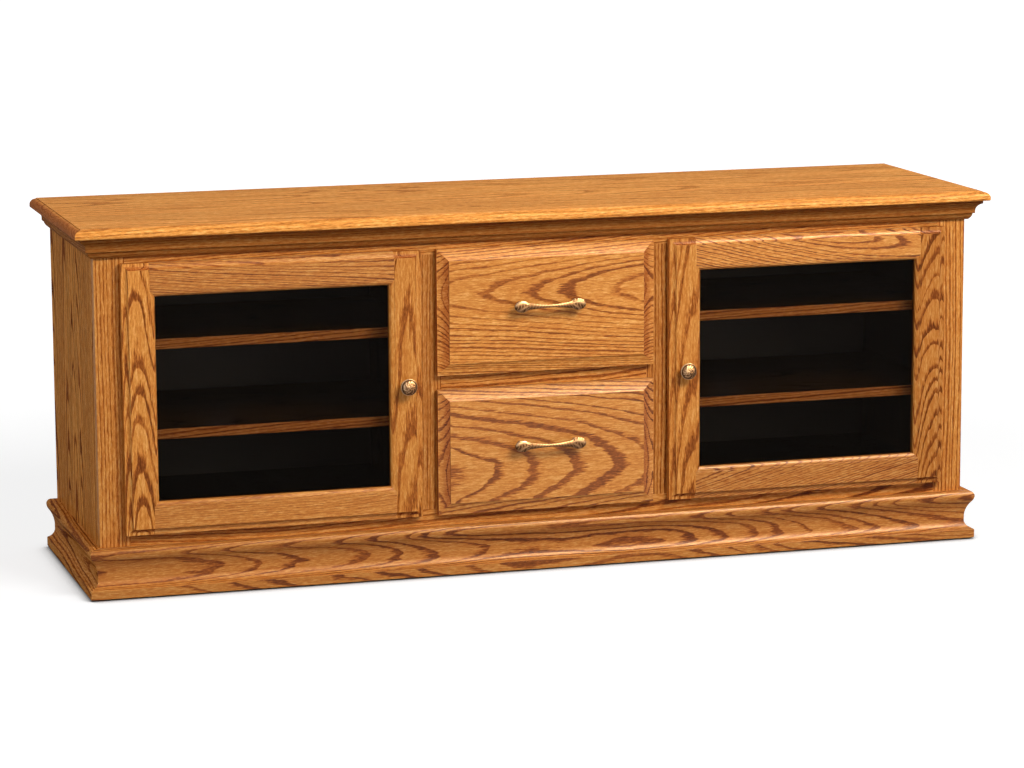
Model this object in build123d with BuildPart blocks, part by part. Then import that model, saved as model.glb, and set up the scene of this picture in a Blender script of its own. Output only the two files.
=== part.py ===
from build123d import *
import os

# A solid oak television console: a case with a face frame, two glazed doors and two drawers.
# Millimetres, +Z up. X runs to the right as seen from the front, Y runs to the back.
# The origin is on the floor, in the middle of the whole footprint.

# Case
case_width = 1702.0
case_depth = 470.0
case_height = 665.0
panel_thickness = 19.0
back_thickness = 6.0
back_rabbet = 9.0
dado_depth = 6.0

# Floor glides
glide_height = 3.0
glide_radius = 9.0
glide_rim = 1.0
glide_inset = 45.0

# Top, with a quirk and a rounded edge on three sides
top_thickness = 18.0
top_overhang = 38.0
top_edge_inset = 13.0
top_edge_quirk = 1.2
top_edge_drop = 12.0
top_lower_round = 2.5

# Crown moulding under the top, measured outwards and up from its foot
crown_height = 38.0
crown_depth = 27.0
crown_lip = 6.0
crown_cove_depth = 15.5
crown_cove_foot = 16.0
crown_cove_sagitta = 3.4
crown_bead_depth = 12.0
crown_bead_height = 12.5
crown_bead_sagitta = 1.6
crown_foot = 5.0

# Base moulding, measured outwards and up from its foot
base_height = 92.0
base_depth = 22.0
base_band_height = 16.0
base_ledge_depth = 20.0
base_ledge_height = 17.2
base_cove_depth = 6.5
base_cove_low = 36.0
base_cove_low_sagitta = 4.6
base_cove_high = 43.0
base_cove_high_sagitta = 2.4
base_neck_depth = 18.0
base_neck_height = 72.0
base_roll_sagitta = 0.9
base_roll_height = 83.0
base_shoulder_depth = 13.0
base_shoulder_sagitta = 2.6

# Face frame
frame_thickness = 19.0
end_stile_width = 57.0
inner_stile_width = 51.0
top_rail_width = 59.0
bottom_rail_width = 124.0
drawer_rail_width = 47.0
drawer_opening_width = 404.0

# Doors and drawer fronts, which lap the face frame
front_thickness = 19.0
front_gap = 2.2
front_overlay = 10.0
back_edge_ease = 1.0

# Section of the door members
door_flat_width = 52.0
door_edge_width = 12.0
door_edge_quirk = 1.2
door_edge_depth = 6.0
door_edge_lip = 2.5
door_edge_sagitta = 1.5
sticking_width = 9.5
sticking_quirk = 1.0
sticking_depth = 7.0
sticking_sagitta = 2.2
tenon_length = 10.0
tenon_thickness = 6.0
tenon_shoulder = 13.0

# Glass, held in a rabbet by wooden stops
glass_thickness = 4.0
glass_setback = 9.0
glass_clearance = 1.0
rabbet_width = 9.0
stop_width = 8.0
stop_joint_gap = 0.2

# Raised drawer fronts
bevel_width = 21.7
bevel_quirk = 1.2
bevel_depth = 8.0
bevel_lip = 1.8
bevel_sagitta = 1.0

# Dovetailed drawer boxes
box_thickness = 12.0
box_depth = 412.0
box_lift = 24.0
box_headroom = 33.5
box_floor_thickness = 6.0
box_floor_rise = 12.0
box_groove = 6.0
tail_count = 4
tail_tip_share = 0.64
tail_root_share = 0.44

# Telescopic slides at the drawer sides
slide_width = 12.7
slide_length = 400.0
slide_setback = 2.0
slide_height = 45.6
slide_sheet = 1.2
slide_run_gap = 0.3
slide_web_gap = 1.8
slide_flange_reach = 9.5
drawer_member_height = 25.0
drawer_member_reach = 7.2

# Shelves on pins
shelf_thickness = 20.0
shelf_depth = 400.0
shelf_setback = 16.0
shelf_side_gap = 1.0
shelf_edge_round = 2.0
upper_shelf_top = 471.0
lower_shelf_top = 303.0
pin_radius = 2.5
pin_hole_gap = 0.1
pin_depth = 9.0
pin_reach = 9.0
pin_plate_thickness = 2.0
pin_plate_width = 10.0
pin_inset = 37.0

# Stretchers under the top, rear base rail and cable holes
stretcher_width = 75.0
back_lap = 20.0
cable_hole_radius = 32.0
cable_hole_headroom = 5.0

# Cup hinges, one near each end of each hinge stile
hinge_inset = 75.0
hinge_pin_inset = 6.6
hinge_pin_depth = 8.4
hinge_pin_radius = 1.0
hinge_pin_gap = 0.3
cup_radius = 17.5
cup_wall = 0.8
cup_depth = 12.0
cup_edge_distance = 2.5
cup_bore_gap = 0.1
wing_thickness = 1.0
wing_width = 16.0
wing_length = 58.0
wing_offset = 9.5
wing_round = 5.0
knuckle_radius = 2.3
arm_sheet = 1.5
arm_height = 8.0
arm_reach = 12.5
arm_step = 2.4
arm_plate_depth = 14.0
arm_plate_height = 44.0

# Turned knobs
knob_radius = 16.0
knob_projection = 27.0
knob_dome = 7.0
knob_rim = 3.0
knob_cup = 5.0
knob_waist_radius = 5.5
knob_rose_radius = 9.5
knob_rose_thickness = 2.5

# Bow pulls: a slender bow that widens at each end into an oval lobe on a post
pull_centres = 108.0
pull_projection = 27.0
pull_rise = 8.0
pull_post_radius = 4.5
pull_rose_radius = 8.0
pull_rose_thickness = 2.0
lobe_length = 31.0
lobe_width = 22.0
lobe_thickness = 8.0
lobe_round = 3.5
neck_width = 11.0
neck_thickness = 6.4
neck_overlap = 6.0
neck_share = 0.32
bow_rise = 5.0
bow_width = 5.6
bow_thickness = 5.2
bow_ring_radius = 3.4
bow_ring_width = 2.2
bow_ring_shares = (0.46, 0.54)

# Cutters run past the wood by this much
overrun = 5.0

# Levels
case_bottom = glide_height
case_top = case_bottom + case_height
opening_bottom = case_bottom + bottom_rail_width
opening_top = case_top - top_rail_width
front_bottom = opening_bottom - front_overlay
front_top = opening_top + front_overlay
drawer_opening_height = (opening_top - opening_bottom - drawer_rail_width) / 2
box_height = drawer_opening_height - box_lift - box_headroom
upper_opening_bottom = opening_top - drawer_opening_height
stretcher_bottom = case_top - panel_thickness
floor_panel_bottom = opening_bottom - panel_thickness

# Depths; the pulls, the knobs or the top reach furthest to the front
hardware_reach = front_gap + front_thickness + max(pull_projection, knob_projection)
case_front = (max(hardware_reach, top_overhang) - case_depth) / 2
case_back = case_front + case_depth
frame_back = case_front + frame_thickness
back_front = case_back - back_thickness
front_back = case_front - front_gap
front_face = front_back - front_thickness

# Widths, from the middle outwards
half_width = case_width / 2
half_inside = half_width - panel_thickness
half_opening = drawer_opening_width / 2
partition_outside = half_opening + panel_thickness
door_opening_inner = half_opening + inner_stile_width
door_opening_outer = half_width - end_stile_width
door_inner = door_opening_inner - front_overlay
door_outer = door_opening_outer + front_overlay
door_member_width = door_flat_width + sticking_width
bay_middle = (half_inside + partition_outside) / 2


def save(piece, name):
    """Label a finished piece and write it under its own name."""
    piece.part.label = name
    export_step(piece.part, f"parts/{name}.step")


def save_pair(piece, left_name, right_name):
    """Write a left-hand piece and its mirror image across the middle of the case."""
    save(piece, left_name)
    with BuildPart() as twin:
        mirror(piece.part, about=Plane.YZ)
    save(twin, right_name)


def fill(x_span, y_span, z_span, mode=Mode.ADD):
    """A board or a cut that fills three spans, each given as two limits."""
    x_low, x_high = sorted(x_span)
    y_low, y_high = sorted(y_span)
    z_low, z_high = sorted(z_span)
    with Locations((x_low, y_low, z_low)):
        Box(x_high - x_low, y_high - y_low, z_high - z_low, align=(Align.MIN,) * 3, mode=mode)


def rout(rim, start, section):
    """Cut a moulded edge along a rim; the x axis of the plane at its start points into the wood."""
    with BuildSketch(start) as cutter:
        with BuildLine():
            section()
        make_face()
    sweep(cutter.sketch, path=rim, transition=Transition.RIGHT, mode=Mode.SUBTRACT)


def upright_rim(x_span, z_span, level, outward=True):
    """Closed rectangle on an upright plane, and a plane for a cutter in the middle of its lower edge."""
    near, far = x_span if outward else reversed(x_span)
    low, high = z_span
    corners = [(near, low), (far, low), (far, high), (near, high)]
    with BuildLine() as rim:
        Polyline(*[(x, level, z) for x, z in corners], close=True)
    side = 1 if outward else -1
    start = Plane(origin=((near + far) / 2, level, low), x_dir=(0, 0, side), z_dir=(side, 0, 0))
    return rim.wire(), start


# The top

def top_edge_section():
    """A small quirk, then a quarter ellipse down to the widest point."""
    EllipticalCenterArc(
        (top_edge_inset, -top_edge_drop),
        top_edge_inset,
        top_edge_drop - top_edge_quirk,
        start_angle=90,
        arc_size=90,
    )
    Polyline(
        (0, -top_edge_drop),
        (-overrun, -top_edge_drop),
        (-overrun, overrun),
        (top_edge_inset, overrun),
        (top_edge_inset, -top_edge_quirk),
    )


with BuildPart() as tabletop:
    edge_x = half_width + top_overhang
    edge_y = case_front - top_overhang
    top_level = case_top + top_thickness
    fill((-edge_x, edge_x), (edge_y, case_back), (case_top, top_level))
    lower_edges = tabletop.faces().sort_by(Axis.Z)[0].edges().sort_by(Axis.Y)[:-1]
    fillet(lower_edges, top_lower_round)
    with BuildLine() as top_rim:
        Polyline(
            (-edge_x, case_back + overrun, top_level),
            (-edge_x, edge_y, top_level),
            (edge_x, edge_y, top_level),
            (edge_x, case_back + overrun, top_level),
        )
    top_start = Plane(origin=(-edge_x, case_back + overrun, top_level), x_dir=(1, 0, 0), z_dir=(0, -1, 0))
    rout(top_rim.wire(), top_start, top_edge_section)
save(tabletop, "tabletop")


# Crown and base mouldings, mitred at the front corners

def crown_section():
    """A bead at the foot, a fillet, a cove and a square lip under the top."""
    Line((0, 0), (crown_foot, 0))
    SagittaArc((crown_foot, 0), (crown_bead_depth, crown_bead_height), -crown_bead_sagitta)
    Polyline(
        (crown_bead_depth, crown_bead_height),
        (crown_cove_depth, crown_bead_height),
        (crown_cove_depth, crown_cove_foot),
    )
    SagittaArc(
        (crown_cove_depth, crown_cove_foot),
        (crown_depth, crown_height - crown_lip),
        crown_cove_sagitta,
    )
    Polyline((crown_depth, crown_height - crown_lip), (crown_depth, crown_height), (0, crown_height), (0, 0))


def base_section():
    """A flat band, a deep cove, a neck and a roll on top."""
    Polyline(
        (0, base_height),
        (0, 0),
        (base_depth, 0),
        (base_depth, base_band_height),
        (base_ledge_depth, base_ledge_height),
    )
    SagittaArc(
        (base_ledge_depth, base_ledge_height),
        (base_cove_depth, base_cove_low),
        base_cove_low_sagitta,
    )
    Line((base_cove_depth, base_cove_low), (base_cove_depth, base_cove_high))
    SagittaArc(
        (base_cove_depth, base_cove_high),
        (base_neck_depth, base_neck_height),
        base_cove_high_sagitta,
    )
    SagittaArc((base_neck_depth, base_neck_height), (base_depth, base_roll_height), -base_roll_sagitta)
    SagittaArc((base_depth, base_roll_height), (base_shoulder_depth, base_height), -base_shoulder_sagitta)
    Line((base_shoulder_depth, base_height), (0, base_height))


def mitred_mouldings(stem, section, depth, foot_level):
    """A front length and two returns of one moulding, fitted at 45 degrees."""
    left_mitre = Plane(origin=(-half_width, case_front, 0), x_dir=(1, 1, 0), z_dir=(1, -1, 0))
    right_mitre = Plane(origin=(half_width, case_front, 0), x_dir=(1, -1, 0), z_dir=(-1, -1, 0))
    with BuildPart() as front:
        with BuildSketch(Plane(origin=(0, case_front, foot_level), x_dir=(0, -1, 0), z_dir=(-1, 0, 0))):
            with BuildLine():
                section()
            make_face()
        extrude(amount=half_width + depth + overrun, both=True)
        split(bisect_by=left_mitre, keep=Keep.TOP)
        split(bisect_by=right_mitre, keep=Keep.TOP)
    save(front, f"{stem}_front")
    start = case_front - depth - overrun
    with BuildPart() as left:
        with BuildSketch(Plane(origin=(-half_width, start, foot_level), x_dir=(-1, 0, 0), z_dir=(0, 1, 0))):
            with BuildLine():
                section()
            make_face()
        extrude(amount=case_back - start)
        split(bisect_by=left_mitre, keep=Keep.BOTTOM)
    save_pair(left, f"{stem}_left", f"{stem}_right")


mitred_mouldings("crown", crown_section, crown_depth, case_top - crown_height)
mitred_mouldings("base", base_section, base_depth, case_bottom)


# Shelf places: each shelf rests on four pins, two in the side panel and two in the partition

shelf_front = frame_back + shelf_setback
shelf_back = shelf_front + shelf_depth
pin_rows = (shelf_front + pin_inset, shelf_back - pin_inset)
shelf_tops = (upper_shelf_top, lower_shelf_top)


def pin_axes(face_x, outward):
    """Planes for the pins on one face, which look out of it into the bay."""
    for shelf_top in shelf_tops:
        for row in pin_rows:
            level = shelf_top - shelf_thickness - pin_radius
            yield Plane(origin=(face_x, row, level), x_dir=(0, 1, 0), z_dir=(outward, 0, 0))


def bore_pin_holes(face_x, outward):
    """Blind holes for the shelf pins."""
    for axis_plane in pin_axes(face_x, outward):
        with BuildSketch(axis_plane) as hole:
            Circle(pin_radius + pin_hole_gap)
        extrude(hole.sketch, amount=-pin_depth, mode=Mode.SUBTRACT)


with BuildPart() as left_side:
    fill((-half_width, -half_inside), (frame_back, case_back), (case_bottom, case_top))
    fill(
        (-half_inside - dado_depth, -half_inside),
        (frame_back, back_front),
        (floor_panel_bottom, opening_bottom),
        mode=Mode.SUBTRACT,
    )
    fill(
        (-half_inside - back_rabbet, -half_inside),
        (back_front, case_back),
        (floor_panel_bottom - back_lap, case_top),
        mode=Mode.SUBTRACT,
    )
    bore_pin_holes(-half_inside, 1)
save_pair(left_side, "left_side_panel", "right_side_panel")

with BuildPart() as left_partition:
    fill((-partition_outside, -half_opening), (frame_back, back_front), (opening_bottom, stretcher_bottom))
    bore_pin_holes(-partition_outside, -1)
save_pair(left_partition, "left_partition", "right_partition")

with BuildPart() as bottom_panel:
    panel_reach = half_inside + dado_depth
    fill((-panel_reach, panel_reach), (frame_back, back_front), (floor_panel_bottom, opening_bottom))
save(bottom_panel, "bottom_panel")

with BuildPart() as top_stretchers:
    for start in (frame_back, back_front - stretcher_width):
        fill((-half_inside, half_inside), (start, start + stretcher_width), (stretcher_bottom, case_top))
save(top_stretchers, "top_stretchers")

with BuildPart() as back_panel:
    back_reach = half_inside + back_rabbet
    cable_hole_level = upper_shelf_top - shelf_thickness - cable_hole_headroom - cable_hole_radius
    fill((-back_reach, back_reach), (back_front, case_back), (floor_panel_bottom - back_lap, case_top))
    with BuildSketch(Plane.XZ.offset(-case_back)):
        with Locations((-bay_middle, cable_hole_level), (bay_middle, cable_hole_level)):
            Circle(cable_hole_radius)
    extrude(amount=back_thickness, mode=Mode.SUBTRACT)
save(back_panel, "back_panel")

with BuildPart() as base_back_rail:
    rail_front = back_front - panel_thickness
    fill((-half_inside, half_inside), (rail_front, back_front), (case_bottom, floor_panel_bottom))
save(base_back_rail, "base_back_rail")


# Face frame

def frame_member(x_span, z_span):
    """One flat member of the face frame."""
    with BuildPart() as member:
        fill(x_span, (case_front, frame_back), z_span)
    return member


end_stile = frame_member((-half_width, -door_opening_outer), (case_bottom, case_top))
save_pair(end_stile, "left_end_stile", "right_end_stile")
inner_stile = frame_member((-door_opening_inner, -half_opening), (opening_bottom, opening_top))
save_pair(inner_stile, "left_inner_stile", "right_inner_stile")
rail_span = (-door_opening_outer, door_opening_outer)
save(frame_member(rail_span, (opening_top, case_top)), "frame_top_rail")
save(frame_member(rail_span, (case_bottom, opening_bottom)), "frame_bottom_rail")
drawer_rail_span = (opening_bottom + drawer_opening_height, upper_opening_bottom)
save(frame_member((-half_opening, half_opening), drawer_rail_span), "frame_drawer_rail")

with BuildPart() as floor_glides:
    side_x = half_width - panel_thickness / 2
    rail_x = half_opening + panel_thickness / 2
    glide_places = [
        (side_x, frame_back + glide_inset),
        (side_x, case_back - glide_inset),
        (rail_x, case_front + frame_thickness / 2),
        (rail_x, back_front - panel_thickness / 2),
    ]
    with BuildSketch():
        with Locations(*[(side * x, y) for x, y in glide_places for side in (-1, 1)]):
            Circle(glide_radius)
    extrude(amount=glide_height)
    chamfer(floor_glides.edges().filter_by(GeomType.CIRCLE).group_by(Axis.Z)[0], glide_rim)
save(floor_glides, "floor_glides")


# Shelves and their pins

for shelf_name, shelf_top in zip(("upper", "lower"), shelf_tops):
    with BuildPart() as shelf:
        fill(
            (-half_inside + shelf_side_gap, -partition_outside - shelf_side_gap),
            (shelf_front, shelf_back),
            (shelf_top - shelf_thickness, shelf_top),
        )
        fillet(shelf.faces().sort_by(Axis.Y)[0].edges().filter_by(Axis.X), shelf_edge_round)
    save_pair(shelf, f"left_{shelf_name}_shelf", f"right_{shelf_name}_shelf")

with BuildPart() as shelf_pins:
    for face_x, outward in (
        (-half_inside, 1), (-partition_outside, -1), (partition_outside, 1), (half_inside, -1),
    ):
        for axis_plane in pin_axes(face_x, outward):
            with BuildSketch(axis_plane):
                Circle(pin_radius)
            extrude(amount=-pin_depth)
            rest_level = axis_plane.origin.Z + pin_radius
            fill(
                (face_x, face_x + outward * pin_reach),
                (axis_plane.origin.Y - pin_plate_width / 2, axis_plane.origin.Y + pin_plate_width / 2),
                (rest_level - pin_plate_thickness, rest_level),
            )
            with BuildSketch(axis_plane):
                Circle(pin_radius)
            extrude(amount=pin_reach / 2)
save(shelf_pins, "shelf_pins")


# Door frame: stiles and rails with one routed edge, cut from the same moulded ring

front_plane = Plane.XZ.offset(-front_face)
outer_x = -door_outer
inner_x = -door_inner
glass_x = (outer_x + door_member_width, inner_x - door_member_width)
glass_z = (front_bottom + door_member_width, front_top - door_member_width)
flat_x = (outer_x + door_flat_width, inner_x - door_flat_width)
flat_z = (front_bottom + door_flat_width, front_top - door_flat_width)
rabbet_x = (glass_x[0] - rabbet_width, glass_x[1] + rabbet_width)
rabbet_z = (glass_z[0] - rabbet_width, glass_z[1] + rabbet_width)
glass_front = front_face + glass_setback
glass_back = glass_front + glass_thickness


def door_edge_section():
    """A quirk and a cove round the outside of a door."""
    Polyline(
        (-overrun, -door_edge_depth),
        (-overrun, overrun),
        (door_edge_width, overrun),
        (door_edge_width, -door_edge_quirk),
    )
    SagittaArc((door_edge_width, -door_edge_quirk), (door_edge_lip, -door_edge_depth), door_edge_sagitta)
    Line((door_edge_lip, -door_edge_depth), (-overrun, -door_edge_depth))


def sticking_section():
    """A quirk and a rounded bead round the glass."""
    Polyline(
        (-overrun, -sticking_depth),
        (-overrun, overrun),
        (sticking_width, overrun),
        (sticking_width, -sticking_quirk),
    )
    SagittaArc((sticking_width, -sticking_quirk), (0, -sticking_depth), -sticking_sagitta)
    Line((0, -sticking_depth), (-overrun, -sticking_depth))


with BuildPart() as door_ring:
    fill((outer_x, inner_x), (front_face, front_back), (front_bottom, front_top))
    chamfer(door_ring.faces().sort_by(Axis.Y)[-1].edges(), back_edge_ease)
    fill(glass_x, (front_face, front_back), glass_z, mode=Mode.SUBTRACT)
    fill(rabbet_x, (glass_front, front_back), rabbet_z, mode=Mode.SUBTRACT)
    rout(*upright_rim((outer_x, inner_x), (front_bottom, front_top), front_face), door_edge_section)
    rout(*upright_rim(glass_x, glass_z, front_face, outward=False), sticking_section)


def door_member(corners):
    """The part of the moulded ring inside an outline; the sticking meets at a mitre."""
    with BuildPart() as member:
        add(door_ring.part)
        with BuildSketch(front_plane):
            with BuildLine():
                Polyline(*corners, close=True)
            make_face()
        extrude(amount=-front_thickness, mode=Mode.INTERSECT)
    return member.part


def stile_outline(edge, flat, glass):
    """Full-height stile, from its outer edge to the glass."""
    return [
        (edge, front_bottom), (flat, front_bottom), (flat, flat_z[0]), (glass, glass_z[0]),
        (glass, glass_z[1]), (flat, flat_z[1]), (flat, front_top), (edge, front_top),
    ]


def rail_outline(edge, flat, glass):
    """Rail between the stiles, from its outer edge to the glass."""
    return [
        (flat_x[0], edge), (flat_x[1], edge), (flat_x[1], flat),
        (glass_x[1], glass), (glass_x[0], glass), (flat_x[0], flat),
    ]


def tenons(rails, mode):
    """Stub tenons on both ends of some rails, or their mortises; a rail is given as (edge, flat)."""
    tenon_y = (front_face + glass_setback, front_face + glass_setback + tenon_thickness)
    for edge, flat in rails:
        inward = 1 if flat > edge else -1
        tenon_z = (edge + inward * tenon_shoulder, flat - inward * tenon_shoulder)
        fill((flat_x[0] - tenon_length, flat_x[0]), tenon_y, tenon_z, mode=mode)
        fill((flat_x[1], flat_x[1] + tenon_length), tenon_y, tenon_z, mode=mode)


bottom_rail = (front_bottom, flat_z[0])
top_rail = (front_top, flat_z[1])
hinge_levels = (front_bottom + hinge_inset, front_top - hinge_inset)
cup_x = outer_x + cup_edge_distance + cup_radius
back_plane = Plane.XZ.offset(-front_back)

with BuildPart() as hinge_stile:
    add(door_member(stile_outline(outer_x, flat_x[0], glass_x[0])))
    tenons((bottom_rail, top_rail), Mode.SUBTRACT)
    with BuildSketch(back_plane):
        with Locations(*[(cup_x, level) for level in hinge_levels]):
            Circle(cup_radius + cup_bore_gap)
    extrude(amount=cup_depth, mode=Mode.SUBTRACT)
save_pair(hinge_stile, "left_door_hinge_stile", "right_door_hinge_stile")

with BuildPart() as knob_stile:
    add(door_member(stile_outline(inner_x, flat_x[1], glass_x[1])))
    tenons((bottom_rail, top_rail), Mode.SUBTRACT)
save_pair(knob_stile, "left_door_knob_stile", "right_door_knob_stile")

for rail_name, rail_lines, glass_level in (
    ("top", top_rail, glass_z[1]), ("bottom", bottom_rail, glass_z[0]),
):
    with BuildPart() as rail:
        add(door_member(rail_outline(*rail_lines, glass_level)))
        tenons((rail_lines,), Mode.ADD)
    save_pair(rail, f"left_door_{rail_name}_rail", f"right_door_{rail_name}_rail")

with BuildPart() as glass:
    fill(
        (rabbet_x[0] + glass_clearance, rabbet_x[1] - glass_clearance),
        (glass_front, glass_back),
        (rabbet_z[0] + glass_clearance, rabbet_z[1] - glass_clearance),
    )
save_pair(glass, "left_door_glass", "right_door_glass")

with BuildPart() as glass_stops:
    stop_y = (glass_back, front_back)
    for low in (rabbet_z[0], rabbet_z[1] - stop_width):
        fill(rabbet_x, stop_y, (low, low + stop_width))
    stop_end = stop_width + stop_joint_gap
    for low in (rabbet_x[0], rabbet_x[1] - stop_width):
        fill((low, low + stop_width), stop_y, (rabbet_z[0] + stop_end, rabbet_z[1] - stop_end))
save_pair(glass_stops, "left_door_glass_stops", "right_door_glass_stops")


# Cup hinges: the cup and its pin turn with the door, the arm stays on the face frame

pin_x = outer_x + hinge_pin_inset
pin_y = front_back - hinge_pin_depth

with BuildPart() as hinge_cups:
    cup_inside = cup_radius - cup_wall
    half_pin = (cup_radius**2 - (cup_x - pin_x + hinge_pin_radius) ** 2) ** 0.5
    for level in hinge_levels:
        with BuildSketch(back_plane):
            with Locations((cup_x, level)):
                Circle(cup_radius)
        extrude(amount=cup_depth)
        with BuildSketch(back_plane):
            with Locations((cup_x, level)):
                Circle(cup_radius)
            with Locations((cup_x + wing_offset, level)):
                RectangleRounded(wing_width, wing_length, wing_round)
        extrude(amount=-wing_thickness)
        with BuildSketch(back_plane.offset(-wing_thickness)):
            with Locations((cup_x, level)):
                Circle(cup_inside)
        extrude(amount=cup_depth + wing_thickness - cup_wall, mode=Mode.SUBTRACT)
        with BuildSketch(Plane.XY.offset(level - half_pin)):
            with Locations((pin_x, pin_y)):
                Circle(hinge_pin_radius)
        extrude(amount=2 * half_pin)
save_pair(hinge_cups, "left_door_hinge_cups", "right_door_hinge_cups")

with BuildPart() as left_arms:
    frame_edge = -door_opening_outer
    step_y = case_front + arm_step
    half_sheet = arm_sheet / 2
    for level in hinge_levels:
        with BuildSketch(Plane.XY.offset(level - arm_height / 2)):
            with Locations((pin_x, pin_y)):
                Circle(knuckle_radius)
            with BuildLine():
                Polyline(
                    (pin_x, pin_y - half_sheet),
                    (pin_x + arm_reach + half_sheet, pin_y - half_sheet),
                    (pin_x + arm_reach + half_sheet, step_y + half_sheet),
                    (frame_edge, step_y + half_sheet),
                    (frame_edge, step_y - half_sheet),
                    (pin_x + arm_reach - half_sheet, step_y - half_sheet),
                    (pin_x + arm_reach - half_sheet, pin_y + half_sheet),
                    (pin_x, pin_y + half_sheet),
                    close=True,
                )
            make_face()
            with Locations((pin_x, pin_y)):
                Circle(hinge_pin_radius + hinge_pin_gap, mode=Mode.SUBTRACT)
        extrude(amount=arm_height)
        fill(
            (frame_edge, frame_edge + arm_sheet),
            (step_y - half_sheet, step_y - half_sheet + arm_plate_depth),
            (level - arm_plate_height / 2, level + arm_plate_height / 2),
        )

with BuildPart() as hinge_arms:
    add(left_arms.part)
    mirror(left_arms.part, about=Plane.YZ)
save(hinge_arms, "hinge_arms")


# Knobs, in the middle of the stiles that meet the drawers

with BuildPart() as knob:
    knob_x = inner_x - door_member_width / 2
    knob_level = (front_bottom + front_top) / 2
    rim_out = knob_projection - knob_dome
    with BuildSketch(Plane(origin=(knob_x, front_face, knob_level), x_dir=(1, 0, 0), z_dir=(0, 0, 1))):
        with BuildLine():
            Polyline(
                (0, 0),
                (knob_rose_radius, 0),
                (knob_rose_radius, -knob_rose_thickness),
                (knob_waist_radius, -knob_rose_thickness - (knob_rose_radius - knob_waist_radius) / 2),
                (knob_waist_radius, -(rim_out - knob_rim - knob_cup)),
            )
            RadiusArc(
                (knob_waist_radius, -(rim_out - knob_rim - knob_cup)),
                (knob_radius, -(rim_out - knob_rim)),
                knob_radius,
            )
            Line((knob_radius, -(rim_out - knob_rim)), (knob_radius, -rim_out))
            EllipticalCenterArc((0, -rim_out), knob_radius, knob_dome, start_angle=270, arc_size=90)
            Line((0, -knob_projection), (0, 0))
        make_face()
    revolve(axis=Axis((knob_x, front_face, knob_level), (0, 1, 0)))
save_pair(knob, "left_door_knob", "right_door_knob")


# Drawers

def drawer_edge_section():
    """A quirk, a slightly hollow bevel and a thin flat lip."""
    Polyline(
        (-overrun, -bevel_depth),
        (-overrun, overrun),
        (bevel_width, overrun),
        (bevel_width, -bevel_quirk),
    )
    SagittaArc((bevel_width, -bevel_quirk), (bevel_lip, -bevel_depth), bevel_sagitta)
    Line((bevel_lip, -bevel_depth), (-overrun, -bevel_depth))


half_front = half_opening + front_overlay
half_box = half_opening - slide_width
box_back = front_back + box_depth
slide_start = frame_back + slide_setback


def tails(box_bottom, mode):
    """The tails at all four corners of a drawer box, or the sockets for them."""
    pitch = box_height / tail_count
    for tip, root in ((front_back, front_back + box_thickness), (box_back, box_back - box_thickness)):
        for index in range(tail_count):
            middle = box_bottom + (index + 0.5) * pitch
            half_tip = pitch * tail_tip_share / 2
            half_root = pitch * tail_root_share / 2
            for start in (-half_box, half_box - box_thickness):
                with BuildSketch(Plane.YZ.offset(start)) as tail:
                    with BuildLine():
                        Polyline(
                            (tip, middle - half_tip),
                            (tip, middle + half_tip),
                            (root, middle + half_root),
                            (root, middle - half_root),
                            close=True,
                        )
                    make_face()
                extrude(tail.sketch, amount=box_thickness, mode=mode)


def box_floor(box_bottom, mode=Mode.ADD):
    """The bottom board, which stands in grooves all round."""
    reach = half_box - box_thickness + box_groove
    floor_y = (front_back + box_thickness - box_groove, box_back - box_thickness + box_groove)
    floor_z = (box_bottom + box_floor_rise, box_bottom + box_floor_rise + box_floor_thickness)
    fill((-reach, reach), floor_y, floor_z, mode=mode)


def channel(back, tip, half_height, middle):
    """Section of a folded channel with its web at back and its flanges out to tip."""
    side = 1 if tip > back else -1
    with Locations(((back + tip) / 2, middle)):
        Rectangle(abs(tip - back), 2 * half_height)
    with Locations(((back + tip + side * slide_sheet) / 2, middle)):
        Rectangle(abs(tip - back) - slide_sheet, 2 * (half_height - slide_sheet), mode=Mode.SUBTRACT)


half_slide = slide_height / 2
half_middle = half_slide - slide_sheet - slide_run_gap
half_drawer_member = drawer_member_height / 2
middle_web = -half_opening + slide_sheet + slide_web_gap
middle_tip = -half_opening + slide_flange_reach


def cabinet_section(level):
    """Outer member, screwed to the partition."""
    channel(-half_opening, middle_tip, half_slide, level)


def middle_section(level):
    """Middle member, with inner races for the drawer member."""
    channel(middle_web, middle_tip, half_middle, level)
    race = half_drawer_member + slide_run_gap + slide_sheet / 2
    race_x = (middle_web + middle_tip) / 2
    with Locations((race_x, level - race), (race_x, level + race)):
        Rectangle(middle_tip - middle_web, slide_sheet)


def drawer_section(level):
    """Inner member, screwed to the drawer side."""
    channel(-half_box, -half_box - drawer_member_reach, half_drawer_member, level)


def slide_pair(section, levels):
    """Mirrored slide members of one section, at both sides of the drawers on some levels."""
    with BuildPart() as left:
        with BuildSketch(Plane.XZ.offset(-slide_start)):
            for level in levels:
                section(level)
        extrude(amount=-slide_length)
    with BuildPart() as pair:
        add(left.part)
        mirror(left.part, about=Plane.YZ)
    return pair


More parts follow.
